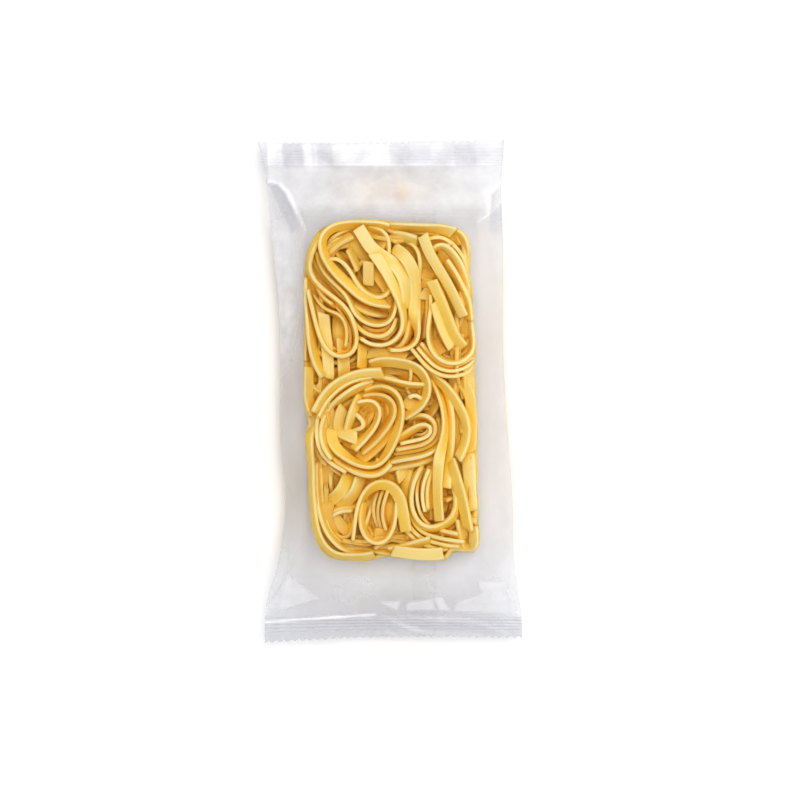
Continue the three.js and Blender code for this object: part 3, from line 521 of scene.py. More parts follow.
# The rest, which lie a little deeper, in the gaps between those.
DEEPER = [
    ("short upright", (0, 0), 1, [(-10, 61), (-10.1, 55), (-10.1, 50.2)]),
    ("coil between", (75, 75), 1, [(-13, 31.5), (-9.5, 29.3), (-5.5, 28.6), (-1.5, 29.8), (0.8, 33)]),
    ("in the crown", (60, 60), 1, [(-31, 63.5), (-27.5, 67.5), (-23, 71), (-18, 73.5)]),
    ("stick in the crown", (60, 60), 1, [(-19.5, 67.5), (-17, 62.5), (-14.8, 57.5)]),
    ("second stick", (80, 80), 1, [(-18.6, 55), (-16, 58), (-13.4, 61)]),
    ("third stick", (50, 50), 1, [(-24, 66), (-21, 60.5), (-17.8, 56)]),
    ("inside the long bend", (-75, -75), 1,
     [(-36, 44), (-32.5, 39), (-28, 36.8), (-24, 35.8), (-21.6, 32), (-20.8, 26.5), (-21.8, 20)]),
    ("over the long bend", (-75, -75), 1, [(-37, 56), (-34.6, 48), (-31, 43), (-26.5, 40)]),
    ("stub", (-20, -20), 1, [(14.8, 51.5), (17.5, 51), (20, 50.3)]),
    ("second stub", (0, 0), 1, [(15, 46.3), (18, 46), (20.5, 45.5)]),
    ("third stub", (20, 20), 1, [(15, 56), (18, 54.5), (20, 53)]),
    ("right of the diagonal", (-30, -30), 1,
     [(29.5, 46), (31.5, 41), (33.5, 35.5), (35.2, 30), (36.3, 25)]),
    ("in the right loop", (-30, -40), 1, [(23, 65), (26.5, 62.5), (30, 58.5), (33, 53.5)]),
    ("between the bends", (-70, -70), 1, [(17.3, 44), (16.9, 37), (16.3, 30), (15.8, 24.5)]),
    ("thin upright", (85, 85), 1, [(9.5, 12.5), (10.4, 8.5), (10.2, 4.5), (8.5, 1)]),
    ("over the arch", (20, 20), 1, [(-10, 17.5), (-3, 18), (3, 17), (8, 16)]),
    ("second flat", (10, 10), 1, [(-22.3, 24), (-22, 18), (-21.8, 12), (-21.5, 6)]),
    ("in the ring", (-60, -60, -55), 1,
     [(-12, -3.5), (-7, -2.8), (-2.5, -3.2), (1, -5.5), (2, -9.5), (0.5, -14), (-3, -19), (-8, -24.5),
      (-13, -28.5)]),
    ("flat in the ring", (10, 15), 1, [(-22, -8), (-24, -13), (-24.5, -18), (-23, -24)]),
    ("diagonal in the ring", (20, 10, 20), 1,
     [(-14.5, -33), (-10, -29.5), (-5.5, -25.5), (-1.5, -21), (1.5, -16.5)]),
    ("flat under the curl", (10, 10), 1, [(7, -4.5), (10, -7.5), (14.5, -7)]),
    ("right of the middle", (-10, -15), 1,
     [(30.5, -7), (32.4, -13), (32.8, -19), (31.9, -26), (30.5, -31)]),
    ("left edge's second", (70, 70), 1, [(-40.2, 42), (-39.8, 32), (-39.6, 22), (-39.3, 14)]),
    ("inside the oval", (80, 80), 1, [(-0.6, -48), (-2.6, -54), (-3, -60), (-1.2, -66)]),
    ("second in the oval", (80, 80), 1, [(-2.8, -48), (-4.8, -54), (-5, -60), (-3.2, -66)]),
    ("third in the oval", (75, 75), 1, [(-5.2, -48.5), (-7, -54), (-6.8, -59.5), (-5, -64.5)]),
    ("over the inner loop", (50, 50), 1, [(-29.5, -57.5), (-25, -54.8), (-20, -54), (-15.5, -53.8)]),
    ("in the inner loop", (20, 20), 1, [(-26, -60), (-23.5, -64), (-20, -67)]),
    ("near bottom", (45, 50), 1, [(-18, -73), (-10, -74.2), (-3, -76.2), (3, -78.2)]),
    ("near left third", (60, 60), 1, [(-11.8, -41.5), (-13, -46), (-15.5, -49.5), (-19, -52.5)]),
    ("flat in the near bend", (20, 20), 1, [(20.6, -36), (19.6, -43), (19.3, -50), (19.4, -56.4)]),
    ("foot of the near bend", (-40, -40), 1, [(0.5, -71.2), (6, -70.4), (12, -70.8), (17, -72)]),
    ("stub in the near bend", (70, 70), 1, [(25, -52.5), (28, -50.8), (31, -50)]),
    ("beside the near bend", (-10, -20), 1, [(34, -60), (34.5, -66), (34.5, -71)]),
]
DEEPER_BY = 1.5
SIDE_BY_SIDE = 0.95  # of a noodle's own width in plan, from one noodle to the next beside it


# The pasta: pale yellow, a little translucent and moist, with faint lengthwise grain.
def linear(*levels):
    """A colour named by its usual 0 to 255 values, none of them nearly black, as the shader takes it."""
    return (*(((level / 255 + 0.055) / 1.055) ** 2.4 for level in levels), 1)


def new_group(name, inputs, outputs):
    """A node group with those named sockets, and its input and output nodes."""
    group = bpy.data.node_groups.new(name, "ShaderNodeTree")
    for socket, kind in inputs:
        group.interface.new_socket(name=socket, in_out="INPUT", socket_type=kind)
    for socket, kind in outputs:
        group.interface.new_socket(name=socket, in_out="OUTPUT", socket_type=kind)
    return group, group.nodes.new("NodeGroupInput"), group.nodes.new("NodeGroupOutput")


def new_node(tree, kind, settings=None, **inputs):
    """A node with its settings, and its inputs set to values or linked to other sockets. An input
    is given by its name, or by its number after an underscore."""
    node = tree.nodes.new(kind)
    for name, value in (settings or {}).items():
        setattr(node, name, value)
    for name, value in inputs.items():
        socket = node.inputs[int(name[1:]) if name[1:].isdigit() else name.replace("_", " ")]
        if isinstance(value, bpy.types.NodeSocket):
            tree.links.new(value, socket)
        else:
            socket.default_value = value
    return node


grain_group, grain_in, grain_out = new_group(
    "dough_grain",
    [("Grain", "NodeSocketVector"), ("Stretch", "NodeSocketVector"), ("Detail", "NodeSocketFloat")],
    [("Streak", "NodeSocketFloat"), ("Speckle", "NodeSocketFloat")],
)
stretched = new_node(grain_group, "ShaderNodeVectorMath", {"operation": "MULTIPLY"},
                     _0=grain_in.outputs["Grain"], _1=grain_in.outputs["Stretch"])
streak = new_node(grain_group, "ShaderNodeTexNoise", Vector=stretched.outputs[0], Scale=1.0,
                  Detail=grain_in.outputs["Detail"], Roughness=0.55)
place_now = new_node(grain_group, "ShaderNodeTexCoord")
speckle = new_node(grain_group, "ShaderNodeTexNoise", Vector=place_now.outputs["Object"], Scale=900.0,
                   Detail=3.0, Roughness=0.6)
grain_group.links.new(streak.outputs["Fac"], grain_out.inputs["Streak"])
grain_group.links.new(speckle.outputs["Fac"], grain_out.inputs["Speckle"])


def pasta_material(name, colours, roughness, shine):
    """Cooked egg pasta: its colour runs from pale in the open to amber as painted shade in the gaps
    and on faces turned aside, is paler at the long edges as a painted highlight, and varies a little
    along the grain and from noodle to noodle."""
    material = bpy.data.materials.new(name)
    material.use_nodes = True
    tree = material.node_tree
    shader = tree.nodes["Principled BSDF"]
    grain = new_node(tree, "ShaderNodeAttribute", {"attribute_name": "grain"})
    parts = new_node(tree, "ShaderNodeSeparateXYZ", Vector=grain.outputs["Vector"])
    group = new_node(tree, "ShaderNodeGroup", {"node_tree": grain_group}, Grain=grain.outputs["Vector"],
                     Stretch=(0.11, 1.1, 31.0), Detail=4.0)
    # The painted shade, with the lengthwise streaks and each noodle's tint, sets the colour from pale to
    # amber.
    golden = new_node(tree, "ShaderNodeAttribute", {"attribute_name": "golden"})
    shade_share = new_node(tree, "ShaderNodeMapRange", Value=golden.outputs["Fac"], From_Min=0.0, From_Max=0.6,
                         To_Min=-0.08, To_Max=0.84)
    streak_and_shade = new_node(tree, "ShaderNodeMath", {"operation": "MULTIPLY_ADD"},
                       _0=group.outputs["Streak"], _1=0.35, _2=shade_share.outputs["Result"])
    tint_streak_and_shade = new_node(tree, "ShaderNodeMath", {"operation": "MULTIPLY_ADD"}, _0=parts.outputs["Z"], _1=0.2,
                      _2=streak_and_shade.outputs[0])
    # Painted highlight: the ribbon's long edges are made paler.
    aside = new_node(tree, "ShaderNodeMath", {"operation": "ABSOLUTE"}, _0=parts.outputs["Y"])
    rim = new_node(tree, "ShaderNodeMapRange", {"interpolation_type": "SMOOTHSTEP"}, Value=aside.outputs[0],
                   From_Min=1.3, From_Max=3.0, To_Min=0.0, To_Max=0.25)
    amount = new_node(tree, "ShaderNodeMath", {"operation": "SUBTRACT"}, _0=tint_streak_and_shade.outputs[0],
                      _1=rim.outputs["Result"])
    ramp = new_node(tree, "ShaderNodeValToRGB", Fac=amount.outputs[0])
    stops = ramp.color_ramp.elements
    for share, colour in zip(np.linspace(0, 1, len(colours)), colours):
        stop = stops[0] if share == 0 else stops[-1] if share == 1 else stops.new(share)
        stop.color = colour
    tree.links.new(ramp.outputs["Color"], shader.inputs["Base Color"])
    rough = new_node(tree, "ShaderNodeMapRange", Value=group.outputs["Speckle"], To_Min=roughness - 0.1,
                     To_Max=roughness + 0.12)
    tree.links.new(rough.outputs["Result"], shader.inputs["Roughness"])
    height = new_node(tree, "ShaderNodeMath", {"operation": "MULTIPLY_ADD"},
                      _0=group.outputs["Streak"], _1=0.8, _2=group.outputs["Speckle"])
    bump = new_node(tree, "ShaderNodeBump", Height=height.outputs[0], Strength=0.22, Distance=0.00025)
    tree.links.new(bump.outputs["Normal"], shader.inputs["Normal"])
    shader.inputs["Subsurface Weight"].default_value = 0.3
    shader.inputs["Subsurface Radius"].default_value = (1.0, 0.9, 0.8)
    shader.inputs["Subsurface Scale"].default_value = 0.0008
    shader.inputs["Specular IOR Level"].default_value = shine
    shader.inputs["IOR"].default_value = 1.42
    return material


# Pale, mid and amber; the amber end is painted shade. The shaded copy, for the noodles that lie lower, is
# darker as painted shade, and the side copy's painted shade is weaker.
EGG_YELLOWS = (linear(239, 224, 162), linear(240, 207, 97), linear(254, 201, 52))
SHADED_YELLOWS = (linear(235, 212, 138), linear(232, 192, 82), linear(242, 184, 50))
SIDE_YELLOWS = (linear(238, 220, 150), linear(236, 202, 104), linear(230, 184, 76))
egg_pasta = pasta_material("egg_pasta", EGG_YELLOWS, 0.38, 0.4)
shaded_pasta = pasta_material("shaded_pasta", SHADED_YELLOWS, 0.42, 0.35)
side_pasta = pasta_material("side_pasta", SIDE_YELLOWS, 0.38, 0.4)


def in_plan(rolls):
    """How wide a noodle is in plan, by its turn half way."""
    return 2 * turned_size(NOODLE_WIDTH, NOODLE_THICKNESS, math.radians(rolls[len(rolls) // 2]))[0]


top_side = Side(pressed_face, inside_rim)
top_chance = np.random.default_rng(11)
showing = 0
for table, depth in ((SHOWING, 0.0), (DEEPER, DEEPER_BY)):
    for _, rolls, count, way in table:
        for n in range(count):
            top_side.lay(way, rolls, top_chance, aside=-n * in_plan(rolls) * SIDE_BY_SIDE, depth=depth)
    showing = showing or len(top_side.noodles)
joined_noodles("noodles_showing", top_side, top_side.noodles[:showing], egg_pasta)

# ---------------------------------------------------------------- the noodles under them
# The rest of the coils on the face, seen in the gaps. Noodles lie in bundles, so each is laid
# beside one that shows, a little deeper, and a few more wander across what is still open.

BESIDE_DEPTH, UNDER_DEPTH = 1.0, 2.6
WANDERERS, GAP_FILLERS = 16, 110
UNDER_PRESS = 3.6  # those that hardly show may run into the ones over them
UNDER_SINK = 9.5  # deeper than this the core hides what is laid
STRIDE = 6.0  # from one point of a wandering way to the next
UNEVEN_BEND, BEND_BACK = 0.028, 0.09  # in radians per millimetre


def wandering(chance, start, heading, length, curl, turn_back):
    """A way that bends as it goes: curl is its mean bend in radians per millimetre, and turn_back
    gives the bend that keeps it on the face."""
    spots = [np.array(start, float)]
    for _ in range(round(length / STRIDE)):
        heading += STRIDE * (curl + chance.normal(0, UNEVEN_BEND) + turn_back(spots[-1], heading))
        spots.append(spots[-1] + STRIDE * np.array([math.cos(heading), math.sin(heading)]))
    return spots


def lay_under(way, rolls, depth, aside=0.0):
    """Lays a noodle that hardly shows on the pressed face."""
    top_side.lay(way, rolls, top_chance, aside=aside, depth=depth, press=UNDER_PRESS, sink=UNDER_SINK)


def stay_on_face(spot, heading):
    """Bends a way back to the middle of the block once it is close to the rim."""
    away = (spot - np.array(block_middle.xy)) / (np.array(block_half.xy) - 6)
    if np.abs(away).max() < 1:
        return 0.0
    homeward = math.atan2(-away[1], -away[0])
    return BEND_BACK * math.sin(homeward - heading)


for _, rolls, count, way in SHOWING:
    for side_of_it in (1, -count):
        turned = [roll + top_chance.uniform(-22, 22) for roll in rolls]
        moved = [np.add(spot, top_chance.normal(0, 0.6, 2)) for spot in way]
        drift = side_of_it * (in_plan(rolls) + in_plan(turned)) / 2 + top_chance.uniform(-0.4, 0.8)
        lay_under(moved, turned, BESIDE_DEPTH, aside=drift)
beside = len(top_side.noodles)
joined_noodles("noodles_beside", top_side, top_side.noodles[showing:beside], shaded_pasta, BESIDE)

for _, rolls, _, way in SHOWING:
    drift = top_chance.uniform(2.0, 7.5) * top_chance.choice([-1, 1])
    moved = [np.add(spot, top_chance.normal(0, 0.9, 2)) for spot in way]
    turned = [roll + top_chance.uniform(-25, 25) for roll in rolls]
    lay_under(moved, turned, UNDER_DEPTH, aside=drift)
for _ in range(WANDERERS):
    start = [top_chance.uniform(block_low[i] + 8, block_high[i] - 8) for i in (0, 1)]
    way = wandering(top_chance, start, top_chance.uniform(0, 6.3), top_chance.uniform(35, 80),
                    top_chance.uniform(-0.05, 0.05), stay_on_face)
    lay_under(way, top_chance.uniform(0, 90, 3), UNDER_DEPTH)

# Then more go through the deepest gaps that are left, each the way of its neighbours.
GAP_CELL = 2.2
GAP_REACH = 24  # from the middle of such a noodle to its ends
GAP_FILLED = 3.0  # how much less deep a gap counts once a noodle was sent through it
gaps = np.array([(x, y) for x in np.arange(block_low.x + 4, block_high.x - 3, GAP_CELL)
                 for y in np.arange(block_low.y + 4, block_high.y - 3, GAP_CELL)])
cover = np.full(len(gaps), -9.0)
counted = 0
for _ in range(GAP_FILLERS):
    fresh = top_side.laid[counted:]
    counted = len(top_side.laid)
    apart = np.hypot(*(gaps[:, None] - fresh[None, :, :2]).T).T
    over_gap = np.where(apart < fresh[:, 2], fresh[:, 4], -9.0)
    cover = np.maximum(cover, over_gap.max(axis=1, initial=-9.0))
    deepest = np.argmin(cover + top_chance.uniform(0, 1, len(gaps)))
    spot = gaps[deepest]
    heading = top_side.laid[np.argmin(np.hypot(*(top_side.laid[:, :2] - spot).T)), 5]
    curl = top_chance.normal(0, 0.015)
    ahead = wandering(top_chance, spot, heading, GAP_REACH, curl, stay_on_face)
    behind = wandering(top_chance, spot, heading + math.pi, GAP_REACH, -curl, stay_on_face)
    lay_under(behind[:0:-1] + ahead, top_chance.uniform(20, 90, 3), UNDER_DEPTH)
    cover[deepest] += GAP_FILLED
joined_noodles("noodles_under", top_side, top_side.noodles[beside:], shaded_pasta, PLAIN)

# ---------------------------------------------------------------- the noodles round the sides
# The block was pressed in a mould, so the noodles at its four sides run round it in long layers,
# flat against the film or on edge, and fold back at the ends.

SIDE_ROOM = 0.2  # between the block's rim and the noodles
SIDE_PRESS = 1.3  # how far one may run into the one over it
SIDE_BULGE = 1.8  # how far the sides curve in at top and bottom
SIDE_LOWEST, SIDE_HIGHEST = block_floor + 2.4, block_top - 4.6
SIDE_LAYERS, SIDE_LAYER_DEPTH = 3, 1.6
SIDE_ROWS, SIDE_PLACES = 5, 5  # how many noodles start above and beside each other in a layer
around_block = rim_length[-1]


def wrap_round(points):
    """Puts places on the unrolled side, along it, up it and out of it, round the block."""
    at = np.mod(points[:, 0], around_block)
    spot = np.column_stack([np.interp(at, rim_length, rim_spots[:, i]) for i in (0, 1)])
    out = np.column_stack([np.interp(at, rim_length, rim_out[:, i]) for i in (0, 1)])
    out /= np.linalg.norm(out, axis=1)[:, None]
    return np.column_stack([spot + out * (points[:, 2:3] - SIDE_ROOM), points[:, 1]])


def off_middle(level):
    """How far a level is from half way up the side: -1 at the lowest noodles, 1 at the highest."""
    return (level - (SIDE_LOWEST + SIDE_HIGHEST) / 2) / (SIDE_HIGHEST - SIDE_LOWEST) * 2


def bulging_side(spots):
    """How far out the noodles reach on the unrolled side."""
    return -SIDE_BULGE * np.abs(off_middle(spots[:, 1])) ** 3


def stay_on_side(spot, heading):
    """Levels a way out on the unrolled side once it is close to the top or the bottom."""
    level = -math.sin(heading) * 0.05
    return level - 0.10 * np.clip(off_middle(spot[1]), -1, 1) ** 3 * math.cos(heading)


def between_faces(spots, wide):
    """Places moved between the bottom and the top of the unrolled side."""
    level = np.clip(spots[:, 1], block_floor + 0.2 + wide, block_top - 2.0 - wide)
    return np.column_stack([spots[:, 0], level])


round_sides = Side(bulging_side, between_faces, wrap_round, around_block)
side_chance = np.random.default_rng(5)
side_levels = np.repeat(np.linspace(SIDE_LOWEST, SIDE_HIGHEST, SIDE_ROWS), SIDE_PLACES)
for layer in range(SIDE_LAYERS):
    for n, level in enumerate(side_chance.permutation(side_levels)):
        start = [around_block * (n + side_chance.uniform()) / len(side_levels),
                 level + side_chance.normal(0, 0.8)]
        way = wandering(side_chance, start, side_chance.normal(0, 0.12), side_chance.uniform(45, 130), 0.0,
                        stay_on_side)
        way = [(s, np.clip(z, SIDE_LOWEST, SIDE_HIGHEST)) for s, z in way]
        turn = side_chance.choice([0, 20, 60, 90], p=[0.3, 0.25, 0.2, 0.25])
        round_sides.lay(way, turn + side_chance.normal(0, 14, 4), side_chance,
                        depth=SIDE_LAYER_DEPTH * layer, press=SIDE_PRESS)
joined_noodles("noodles_round_sides", round_sides, round_sides.noodles, side_pasta, BESIDE)

# ---------------------------------------------------------------- the noodles underneath
# The underside of the block lies flat on the back of the bag. The same noodles are pressed
# smoother there than on top, and most of them lie flat.

UNDERSIDE_COILS = 115
UNDERSIDE_TURNS = (0, 0, 10, 25, 80)  # degrees, one of them for each noodle
UNDERSIDE_CURLS = (-0.06, 0.0, 0.06)


def turn_over(points):
    """Puts places on the underside, which is laid as if it faced up, in space."""
    return np.column_stack([2 * block_middle.x - points[:, 0], points[:, 1], block_floor - points[:, 2]])


def under_face(spots):
    """How far the underside curves up to its rim."""
    away = np.abs(spots - block_middle.xy) / block_half.xy
    return -RIM_DIP * np.clip(away.max(axis=1), 0, 1) ** 8


def inside_turned_rim(spots, wide):
    """inside_rim for places on the underside."""
    turned = inside_rim(spots * [-1, 1] + [2 * block_middle.x, 0], wide)
    return turned * [-1, 1] + [2 * block_middle.x, 0]


underside = Side(under_face, inside_turned_rim, turn_over)
back_chance = np.random.default_rng(3)
for n in range(UNDERSIDE_COILS):
    start = [back_chance.uniform(block_low[i] + 7, block_high[i] - 7) for i in (0, 1)]
    way = wandering(back_chance, start, back_chance.uniform(0, 6.3), back_chance.uniform(40, 110),
                    back_chance.choice(UNDERSIDE_CURLS), stay_on_face)
    way = [np.clip(spot, np.array(block_low.xy) + 4, np.array(block_high.xy) - 4) for spot in way]
    turn = back_chance.choice(UNDERSIDE_TURNS)
    underside.lay(way, turn + back_chance.normal(0, 8, 3), back_chance, press=SIDE_PRESS)
joined_noodles("noodles_underneath", underside, underside.noodles, side_pasta, BESIDE)

# ---------------------------------------------------------------- the middle of the block
# The imported noodles deep inside, which only show at the bottom of the gaps, painted dark and
# warm there as shade: one lumpy body, set in from every side.

CORE_INSET = 8.0
CORE_LOW, CORE_HIGH = block_floor + 5.0, block_top - 13.5
CORE_LUMP = 0.8
CORE_CELLS = (34, 66, 4)
CORE_SHADE = 0.6  # painted shade, as much as in a deep gap
# Darker than the pasta on top: painted shade at the bottom of the gaps.
CORE_SHADE_YELLOWS = (linear(216, 172, 92), linear(198, 142, 54))


def core_body():
    """A box with round sides, cut into cells, with its surface pushed in and out in lumps."""
    points, faces, seen = [], [], {}
    half = np.array([block_half.x - CORE_INSET, block_half.y - CORE_INSET, (CORE_HIGH - CORE_LOW) / 2])
    middle = np.array([block_middle.x, block_middle.y, (CORE_LOW + CORE_HIGH) / 2])

    def corner(cell):
        if cell not in seen:
            seen[cell] = len(points)
            unit = 2 * np.array(cell) / CORE_CELLS - 1
            round_off = 1 - 0.06 * (unit[0] ** 4 + unit[1] ** 4) * unit[2] ** 2
            spot = middle + half * unit * [round_off, round_off, 1]
            lump = math.sin(spot[0] / 2.1 + 2 * math.sin(spot[1] / 7)) * math.cos(spot[1] / 2.6 + spot[2])
            points.append(spot + unit * CORE_LUMP * lump)
        return seen[cell]

    for axis in range(3):
        across, along = (axis + 1) % 3, (axis + 2) % 3
        for side in (0, CORE_CELLS[axis]):
            for i in range(CORE_CELLS[across]):
                for j in range(CORE_CELLS[along]):
                    quad = []
                    for a, b in ((i, j), (i + 1, j), (i + 1, j + 1), (i, j + 1)):
                        cell = [0, 0, 0]
                        cell[axis], cell[across], cell[along] = side, a, b
                        quad.append(corner(tuple(cell)))
                    faces.append(quad if side else quad[::-1])
    return smooth_mesh("block_core", points, faces, grain=np.array(points) * [1, 1, 0],
                       golden=np.full(len(points), CORE_SHADE))


core = in_scene("block_core", core_body(), pasta_material("packed_pasta", CORE_SHADE_YELLOWS, 0.5, 0.3))
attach(core, "root")
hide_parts("noodle_block")

# ---------------------------------------------------------------- the bag of clear film
# One sheet of clear film folded round the block and welded: down the back, where the seal is
# folded flat, and across both ends, which are crimped and cut with small teeth. The front is
# drawn down over the rim of the block to the folded sides.

FAR_EDGE, NEAR_EDGE = 120.8, -120.8
SEAL_DEPTH = 13.0
SEAL_HEIGHT = 10.0  # where front and back film meet
SEAL_HALF = 0.35  # the two welded films
SEAL_EASE = 0.8  # over which the film closes into a seal
SEAL_RIPPLE = 0.5  # how far a seal's free edge wavers up and down
END_DROOP, END_RIPPLE = 2.2, 1.1  # how far the free edges droop, and their slower waves
CRIMP_PITCH, CRIMP_RELIEF, CRIMP_BAND = 1.8, 0.28, 9.0
CRIMP_EASE = 1.0  # over which the crimp lines end
TEETH, TOOTH_DEPTH = 34, 1.1
TOOTH_START, TOOTH_EASE = 11.5, 1.5  # from where in the seal the teeth are drawn out, and over what
FILM_GAP = 0.4  # over the noodles
FILM_SPAN = 3  # how far the taut film reaches on from the top of each noodle
BACK_LIFT = 0.3  # of the back over the floor
BACK_CURVE = 1.25  # how hollow the back rises from under the block to the seals
FIN_MIDDLE, FIN_HALF, FIN_DEPTH = 16.5, 5.0, 0.2  # the seal down the back
FAR_SEAL, NEAR_SEAL = FAR_EDGE - SEAL_DEPTH, NEAR_EDGE + SEAL_DEPTH

left_edge = smooth_way([(-63.4, FAR_EDGE), (-59, 101), (-56, 69), (-52.5, 31), (-52.2, -22), (-49.8, -52),
                        (-52.8, -80), (-59, -102), (-59.7, NEAR_EDGE)])[0][::-1]
right_edge = smooth_way([(54.8, FAR_EDGE), (53.2, 98), (54.2, 66), (54.1, 25), (55.8, -13), (58.4, -48),
                         (59.4, -80), (62.6, -105), (63.4, NEAR_EDGE)])[0][::-1]


def film_edges(y):
    """Where the bag's two side folds are at this place along it."""
    return np.interp(y, left_edge[:, 1], left_edge[:, 0]), np.interp(y, right_edge[:, 1], right_edge[:, 0])


def weld_height(x, y):
    """How high the welded ends and the side folds lie: the ends droop and ripple a little."""
    beyond = np.clip((np.abs(y) - FAR_SEAL) / SEAL_DEPTH, 0, 1)
    ripple = np.where(y > 0, np.sin(x / 17 + 0.6), np.sin(x / 13 - 0.9))
    return SEAL_HEIGHT - END_DROOP * beyond + END_RIPPLE * beyond * ripple


def end_bow(x, y):
    """The end seals aren't quite square to the pack, and their free edges bow in."""
    tilt = np.clip(x / 126.8 + 0.5, 0, 1)
    bow = 1 - (x / 60) ** 2
    return np.where(y > 0, -1.5 * (1 - tilt) - 1.2 * bow, 2.4 * tilt + 1.6 * bow)


# The front film is stretched like a membrane from the folds and seals over the tops of the
# noodles, on a raster of millimetres.
RASTER_X = np.arange(-70.0, 71.0)
RASTER_Y = np.arange(-124.0, 125.0)
raster_x, raster_y = np.meshgrid(RASTER_X, RASTER_Y)
STRETCH_START, STRETCH_ROUNDS = 20.0, 700


def noodle_tops():
    """The highest noodle over each place of the raster."""
    tops = np.full(raster_x.shape, -1.0)
    for side in (top_side, round_sides):
        for noodle in side.noodles:
            points = side.place(ribbon(noodle)[0])
            column = np.round(points[:, 0] - RASTER_X[0]).astype(int)
            row = np.round(points[:, 1] - RASTER_Y[0]).astype(int)
            np.maximum.at(tops, (row, column), points[:, 2])
    return tops


def spread(raster, reach, blend):
    """The raster with blend, such as the highest or the mean, taken over a square of that reach."""
    moves = range(-reach, reach + 1)
    upright = blend([np.roll(raster, move, axis=0) for move in moves], axis=0)
    return blend([np.roll(upright, move, axis=1) for move in moves], axis=0)


def stretched_front():
    """The front film's height over the raster."""
    left, right = film_edges(raster_y)
    welded = (raster_x <= left) | (raster_x >= right) | (np.abs(raster_y) >= FAR_SEAL)
    height = np.where(welded, weld_height(raster_x, raster_y), STRETCH_START)
    held_up = spread(noodle_tops(), FILM_SPAN, np.max) + FILM_GAP
    for _ in range(2):
        held_up = spread(held_up, 2, np.mean)
    inner, fixed = height[1:-1, 1:-1], welded[1:-1, 1:-1]
    for _ in range(STRETCH_ROUNDS):
        mean = (height[:-2, 1:-1] + height[2:, 1:-1] + height[1:-1, :-2] + height[1:-1, 2:]) / 4
        inner[:] = np.where(fixed, inner, np.maximum(mean, held_up[1:-1, 1:-1]))
    return height


def at_places(raster, x, y):
    """The raster's value at places between its millimetres."""
    column = np.clip(x - RASTER_X[0], 0, len(RASTER_X) - 1.001)
    row = np.clip(y - RASTER_Y[0], 0, len(RASTER_Y) - 1.001)
    c, r = column.astype(int), row.astype(int)
    u, v = column - c, row - r
    low = raster[r, c] * (1 - u) + raster[r, c + 1] * u
    high = raster[r + 1, c] * (1 - u) + raster[r + 1, c + 1] * u
    return low * (1 - v) + high * v


def nearness(x, y, way, width):
    """1 on a line through the points of a way, falling off in a bell of that width beside it."""
    nearest = np.full(np.shape(x), np.inf)
    for (ax, ay), (bx, by) in zip(way, way[1:]):
        length = math.hypot(bx - ax, by - ay)
        share = np.clip(((x - ax) * (bx - ax) + (y - ay) * (by - ay)) / length**2, 0, 1)
        nearest = np.minimum(nearest, np.hypot(x - ax - share * (bx - ax), y - ay - share * (by - ay)))
    return np.exp(-((nearest / width) ** 2))


def patch(x, y, middle, half, turn=0.0, soft=1.0):
    """1 inside a slanted oblong, falling to 0 over a soft edge."""
    cos, sin = math.cos(math.radians(turn)), math.sin(math.radians(turn))
    dx, dy = x - middle[0], y - middle[1]
    out = np.maximum(np.abs(dx * cos + dy * sin) - half[0], np.abs(dy * cos - dx * sin) - half[1])
    return np.clip(0.5 - out / (2 * soft), 0, 1)


def panel(x, y, corners, soft=1.0):
    """1 inside a facet of the film, given by its corners in order round it, with a soft edge."""
    centre = np.mean(corners, axis=0)
    inside = np.full(np.shape(x), np.inf)
    for (ax, ay), (bx, by) in zip(corners, corners[1:] + corners[:1]):
        length = math.hypot(bx - ax, by - ay)
        out = np.array([by - ay, ax - bx]) / length
        out *= np.sign(out @ (np.array([ax, ay]) - centre))
        inside = np.minimum(inside, (ax - x) * out[0] + (ay - y) * out[1])
    return np.clip(inside / soft + 0.5, 0, 1)


# The hips, where the skirts at the ends fold over the sides, from the seals in to the block.
FAR_LEFT_HIP = [(-58.3, 99.6), (-53.5, 98.4), (-49.4, 94.1), (-45.9, 86.5), (-42.1, 78.9), (-40.9, 76.3)]
FAR_RIGHT_HIP = [(53.3, 98.4), (48.4, 93.5), (47.8, 83.5), (42.4, 79.7)]
NEAR_LEFT_HIP = [(-52.5, -101.5), (-48.8, -88.5), (-46.5, -80), (-41.5, -72)]
NEAR_RIGHT_HIP = [(61.5, -106.0), (58.0, -98.0), (54.0, -91.0), (44.0, -78)]
HIP_RIDGE, HIP_WIDTH = 0.9, 1.3
SKIRT_DEPTH = 26  # from the seals in to the taut film over the block
SIDES_END = 84  # how far along the block its side wrinkles reach
PLEAT_LIFT, BROAD_LIFT, WRINKLE_LIFT = 0.12, 0.5, 0.35
NEAR_CREASE_HIGHLIGHT = [(-59.7, -110.5), (-7.0, -106.8)]  # a painted highlight: a white line where the near seal is folded
# The sides of the far hips, where the film turns down: painted greyer and darker as shade.
FAR_LEFT_PANEL = [
    (-64, 112), (-58.3, 99.6), (-53.5, 98.4), (-49.4, 94.1), (-45.9, 86.5), (-42.1, 78.9), (-60, 60),
]
FAR_RIGHT_PANEL = [(60, 100), (53.3, 98.4), (48.4, 93.5), (47.8, 83.5), (44.4, 79.7), (60, 62)]
# Painted highlights: facets of the film near the near seal, painted milky where they catch the light, each
# with how milky it looks.
NEAR_FACET_HIGHLIGHTS = (
    ([(-51.6, -76.1), (-48.4, -76.1), (-48.4, -88.0), (-58.4, -101.0)], 0.20),
    ([(-48.4, -88.0), (-33.9, -99.1), (-51.6, -104.6), (-58.4, -103.0)], 0.30),
    ([(42.4, -90.9), (54.3, -91.3), (58.9, -100.0), (44.3, -96.8)], 0.34),
    ([(44.3, -96.8), (58.9, -100.0), (62.4, -106.3), (30.7, -105.0), (31.6, -100.9)], 0.34),
    ([(-4.3, -100.9), (4.3, -100.5), (3.8, -105.0)], 0.45),
    ([(8.9, -100.9), (20.2, -99.3), (22.0, -104.5), (7.9, -104.7)], 0.40),
    ([(21.1, -98.7), (25.2, -98.7), (28.4, -104.7), (23.8, -104.7)], 0.45),
)


